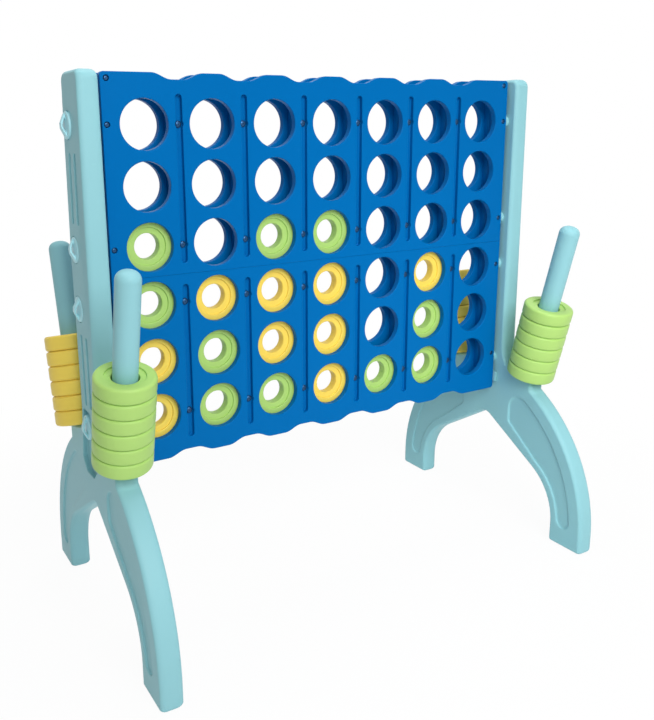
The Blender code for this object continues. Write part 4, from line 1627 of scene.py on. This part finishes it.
@dataclass
class Studio:
    """Camera, floor, backdrop and lights."""

    eye: tuple[float, float, float] = (-0.6221, -0.9626, 0.6473)
    yaw: float = math.radians(29.21)
    pitch: float = math.radians(13.33)
    roll: float = math.radians(0.78)
    focal: float = 798.2
    centre: Point = (274.4, 320.3)
    image: Point = (654.0, 720.0)
    sensor: float = 36.0
    soft_light: float = 0.30
    floor_half: float = 14.0
    floor_drop: float = 0.0003
    floor_white: float = 0.90
    glow_near: float = 0.95
    near: float = 0.45
    far: float = 1.0

    def build(self) -> None:
        """Set up the whole studio."""
        self._camera()
        self._world()
        self._floor()
        for lamp in LAMPS:
            lamp.build()

    def _camera(self) -> None:
        """Camera at the viewing angle, with the little shift that the framing needs."""
        right = Vector((math.cos(self.yaw), -math.sin(self.yaw), 0.0))
        ahead = Vector((math.sin(self.yaw) * math.cos(self.pitch),
                        math.cos(self.yaw) * math.cos(self.pitch), -math.sin(self.pitch)))
        down = ahead.cross(right)
        turned_right = right * math.cos(self.roll) + down * math.sin(self.roll)
        turned_down = down * math.cos(self.roll) - right * math.sin(self.roll)
        data = bpy.data.cameras.new("viewpoint")
        data.sensor_fit = "AUTO"
        data.sensor_width = self.sensor
        data.lens = self.focal / self.image[1] * data.sensor_width
        data.shift_x = (self.image[0] / 2 - self.centre[0]) / self.image[1]
        data.shift_y = (self.centre[1] - self.image[1] / 2) / self.image[1]
        data.clip_start = 0.05
        camera = bpy.data.objects.new("viewpoint", data)
        axes = Matrix((turned_right, -turned_down, -ahead)).transposed()
        camera.matrix_world = Matrix.Translation(self.eye) @ axes.to_4x4()
        bpy.context.scene.collection.objects.link(camera)
        bpy.context.scene.camera = camera
        bpy.context.scene.view_settings.view_transform = "Standard"

    @staticmethod
    def _seen(nodes: bpy.types.Nodes, links: bpy.types.NodeLinks) -> bpy.types.NodeSocket:
        """1 for the rays that show the surroundings: camera, gloss and transmission."""
        path = nodes.new("ShaderNodeLightPath")
        first = nodes.new("ShaderNodeMath")
        first.operation = "MAXIMUM"
        links.new(path.outputs["Is Camera Ray"], first.inputs[0])
        links.new(path.outputs["Is Glossy Ray"], first.inputs[1])
        second = nodes.new("ShaderNodeMath")
        second.operation = "MAXIMUM"
        links.new(first.outputs[0], second.inputs[0])
        links.new(path.outputs["Is Transmission Ray"], second.inputs[1])
        return second.outputs[0]

    def _world(self) -> None:
        """White surroundings that light the object softly."""
        world = bpy.data.worlds.new("studio")
        world.use_nodes = True
        nodes, links = world.node_tree.nodes, world.node_tree.links
        nodes.clear()
        sink = nodes.new("ShaderNodeOutputWorld")
        mix = nodes.new("ShaderNodeMixShader")
        soft = nodes.new("ShaderNodeBackground")
        soft.inputs["Color"].default_value = (0.97, 0.985, 1.0, 1.0)
        soft.inputs["Strength"].default_value = self.soft_light
        white = nodes.new("ShaderNodeBackground")
        white.inputs["Color"].default_value = (1.0, 1.0, 1.0, 1.0)
        white.inputs["Strength"].default_value = 1.0
        links.new(self._seen(nodes, links), mix.inputs[0])
        links.new(soft.outputs[0], mix.inputs[1])
        links.new(white.outputs[0], mix.inputs[2])
        links.new(mix.outputs[0], sink.inputs["Surface"])
        bpy.context.scene.world = world

    def _floor(self) -> None:
        """Plain white floor that keeps a soft shadow."""
        mesh = bpy.data.meshes.new("studio_floor")
        size = self.floor_half
        mesh.from_pydata([(-size, -size, 0), (size, -size, 0), (size, size, 0), (-size, size, 0)],
                         [], [(0, 1, 2, 3)])
        floor = bpy.data.objects.new("studio_floor", mesh)
        floor.location.z = -self.floor_drop
        bpy.context.scene.collection.objects.link(floor)
        material = bpy.data.materials.new("white_floor")
        material.use_nodes = True
        nodes, links = material.node_tree.nodes, material.node_tree.links
        nodes.clear()
        sink = nodes.new("ShaderNodeOutputMaterial")
        mix = nodes.new("ShaderNodeMixShader")
        plain = nodes.new("ShaderNodeBsdfDiffuse")
        plain.inputs["Color"].default_value = (*[self.floor_white] * 3, 1.0)
        glow = nodes.new("ShaderNodeEmission")
        glow.inputs["Strength"].default_value = 1.0
        place = nodes.new("ShaderNodeTexCoord")
        away = nodes.new("ShaderNodeVectorMath")
        away.operation = "LENGTH"
        links.new(place.outputs["Object"], away.inputs[0])
        fade = nodes.new("ShaderNodeMapRange")
        fade.interpolation_type = "SMOOTHSTEP"
        fade.inputs["From Min"].default_value = self.near
        fade.inputs["From Max"].default_value = self.far
        fade.inputs["To Min"].default_value = self.glow_near
        fade.inputs["To Max"].default_value = 1.0
        links.new(away.outputs["Value"], fade.inputs["Value"])
        share = nodes.new("ShaderNodeMath")
        share.operation = "MULTIPLY"
        links.new(fade.outputs["Result"], share.inputs[1])
        links.new(self._seen(nodes, links), share.inputs[0])
        links.new(share.outputs[0], mix.inputs[0])
        links.new(plain.outputs[0], mix.inputs[1])
        links.new(glow.outputs[0], mix.inputs[2])
        links.new(mix.outputs[0], sink.inputs["Surface"])
        mesh.materials.append(material)


def main() -> None:
    """Build the studio and the game in order and report each piece."""
    logging.basicConfig(level=logging.INFO, format="%(name)s: %(message)s")
    palette = Palette()
    Studio().build()
    pieces = Board().build(palette)
    for end in End:
        pieces += Side(end).build(palette)
    pieces += Game().build(palette)
    for piece in pieces:
        LOG.info("%s: %d faces", piece.name, len(piece.data.polygons))


if __name__ == "__main__":
    main()
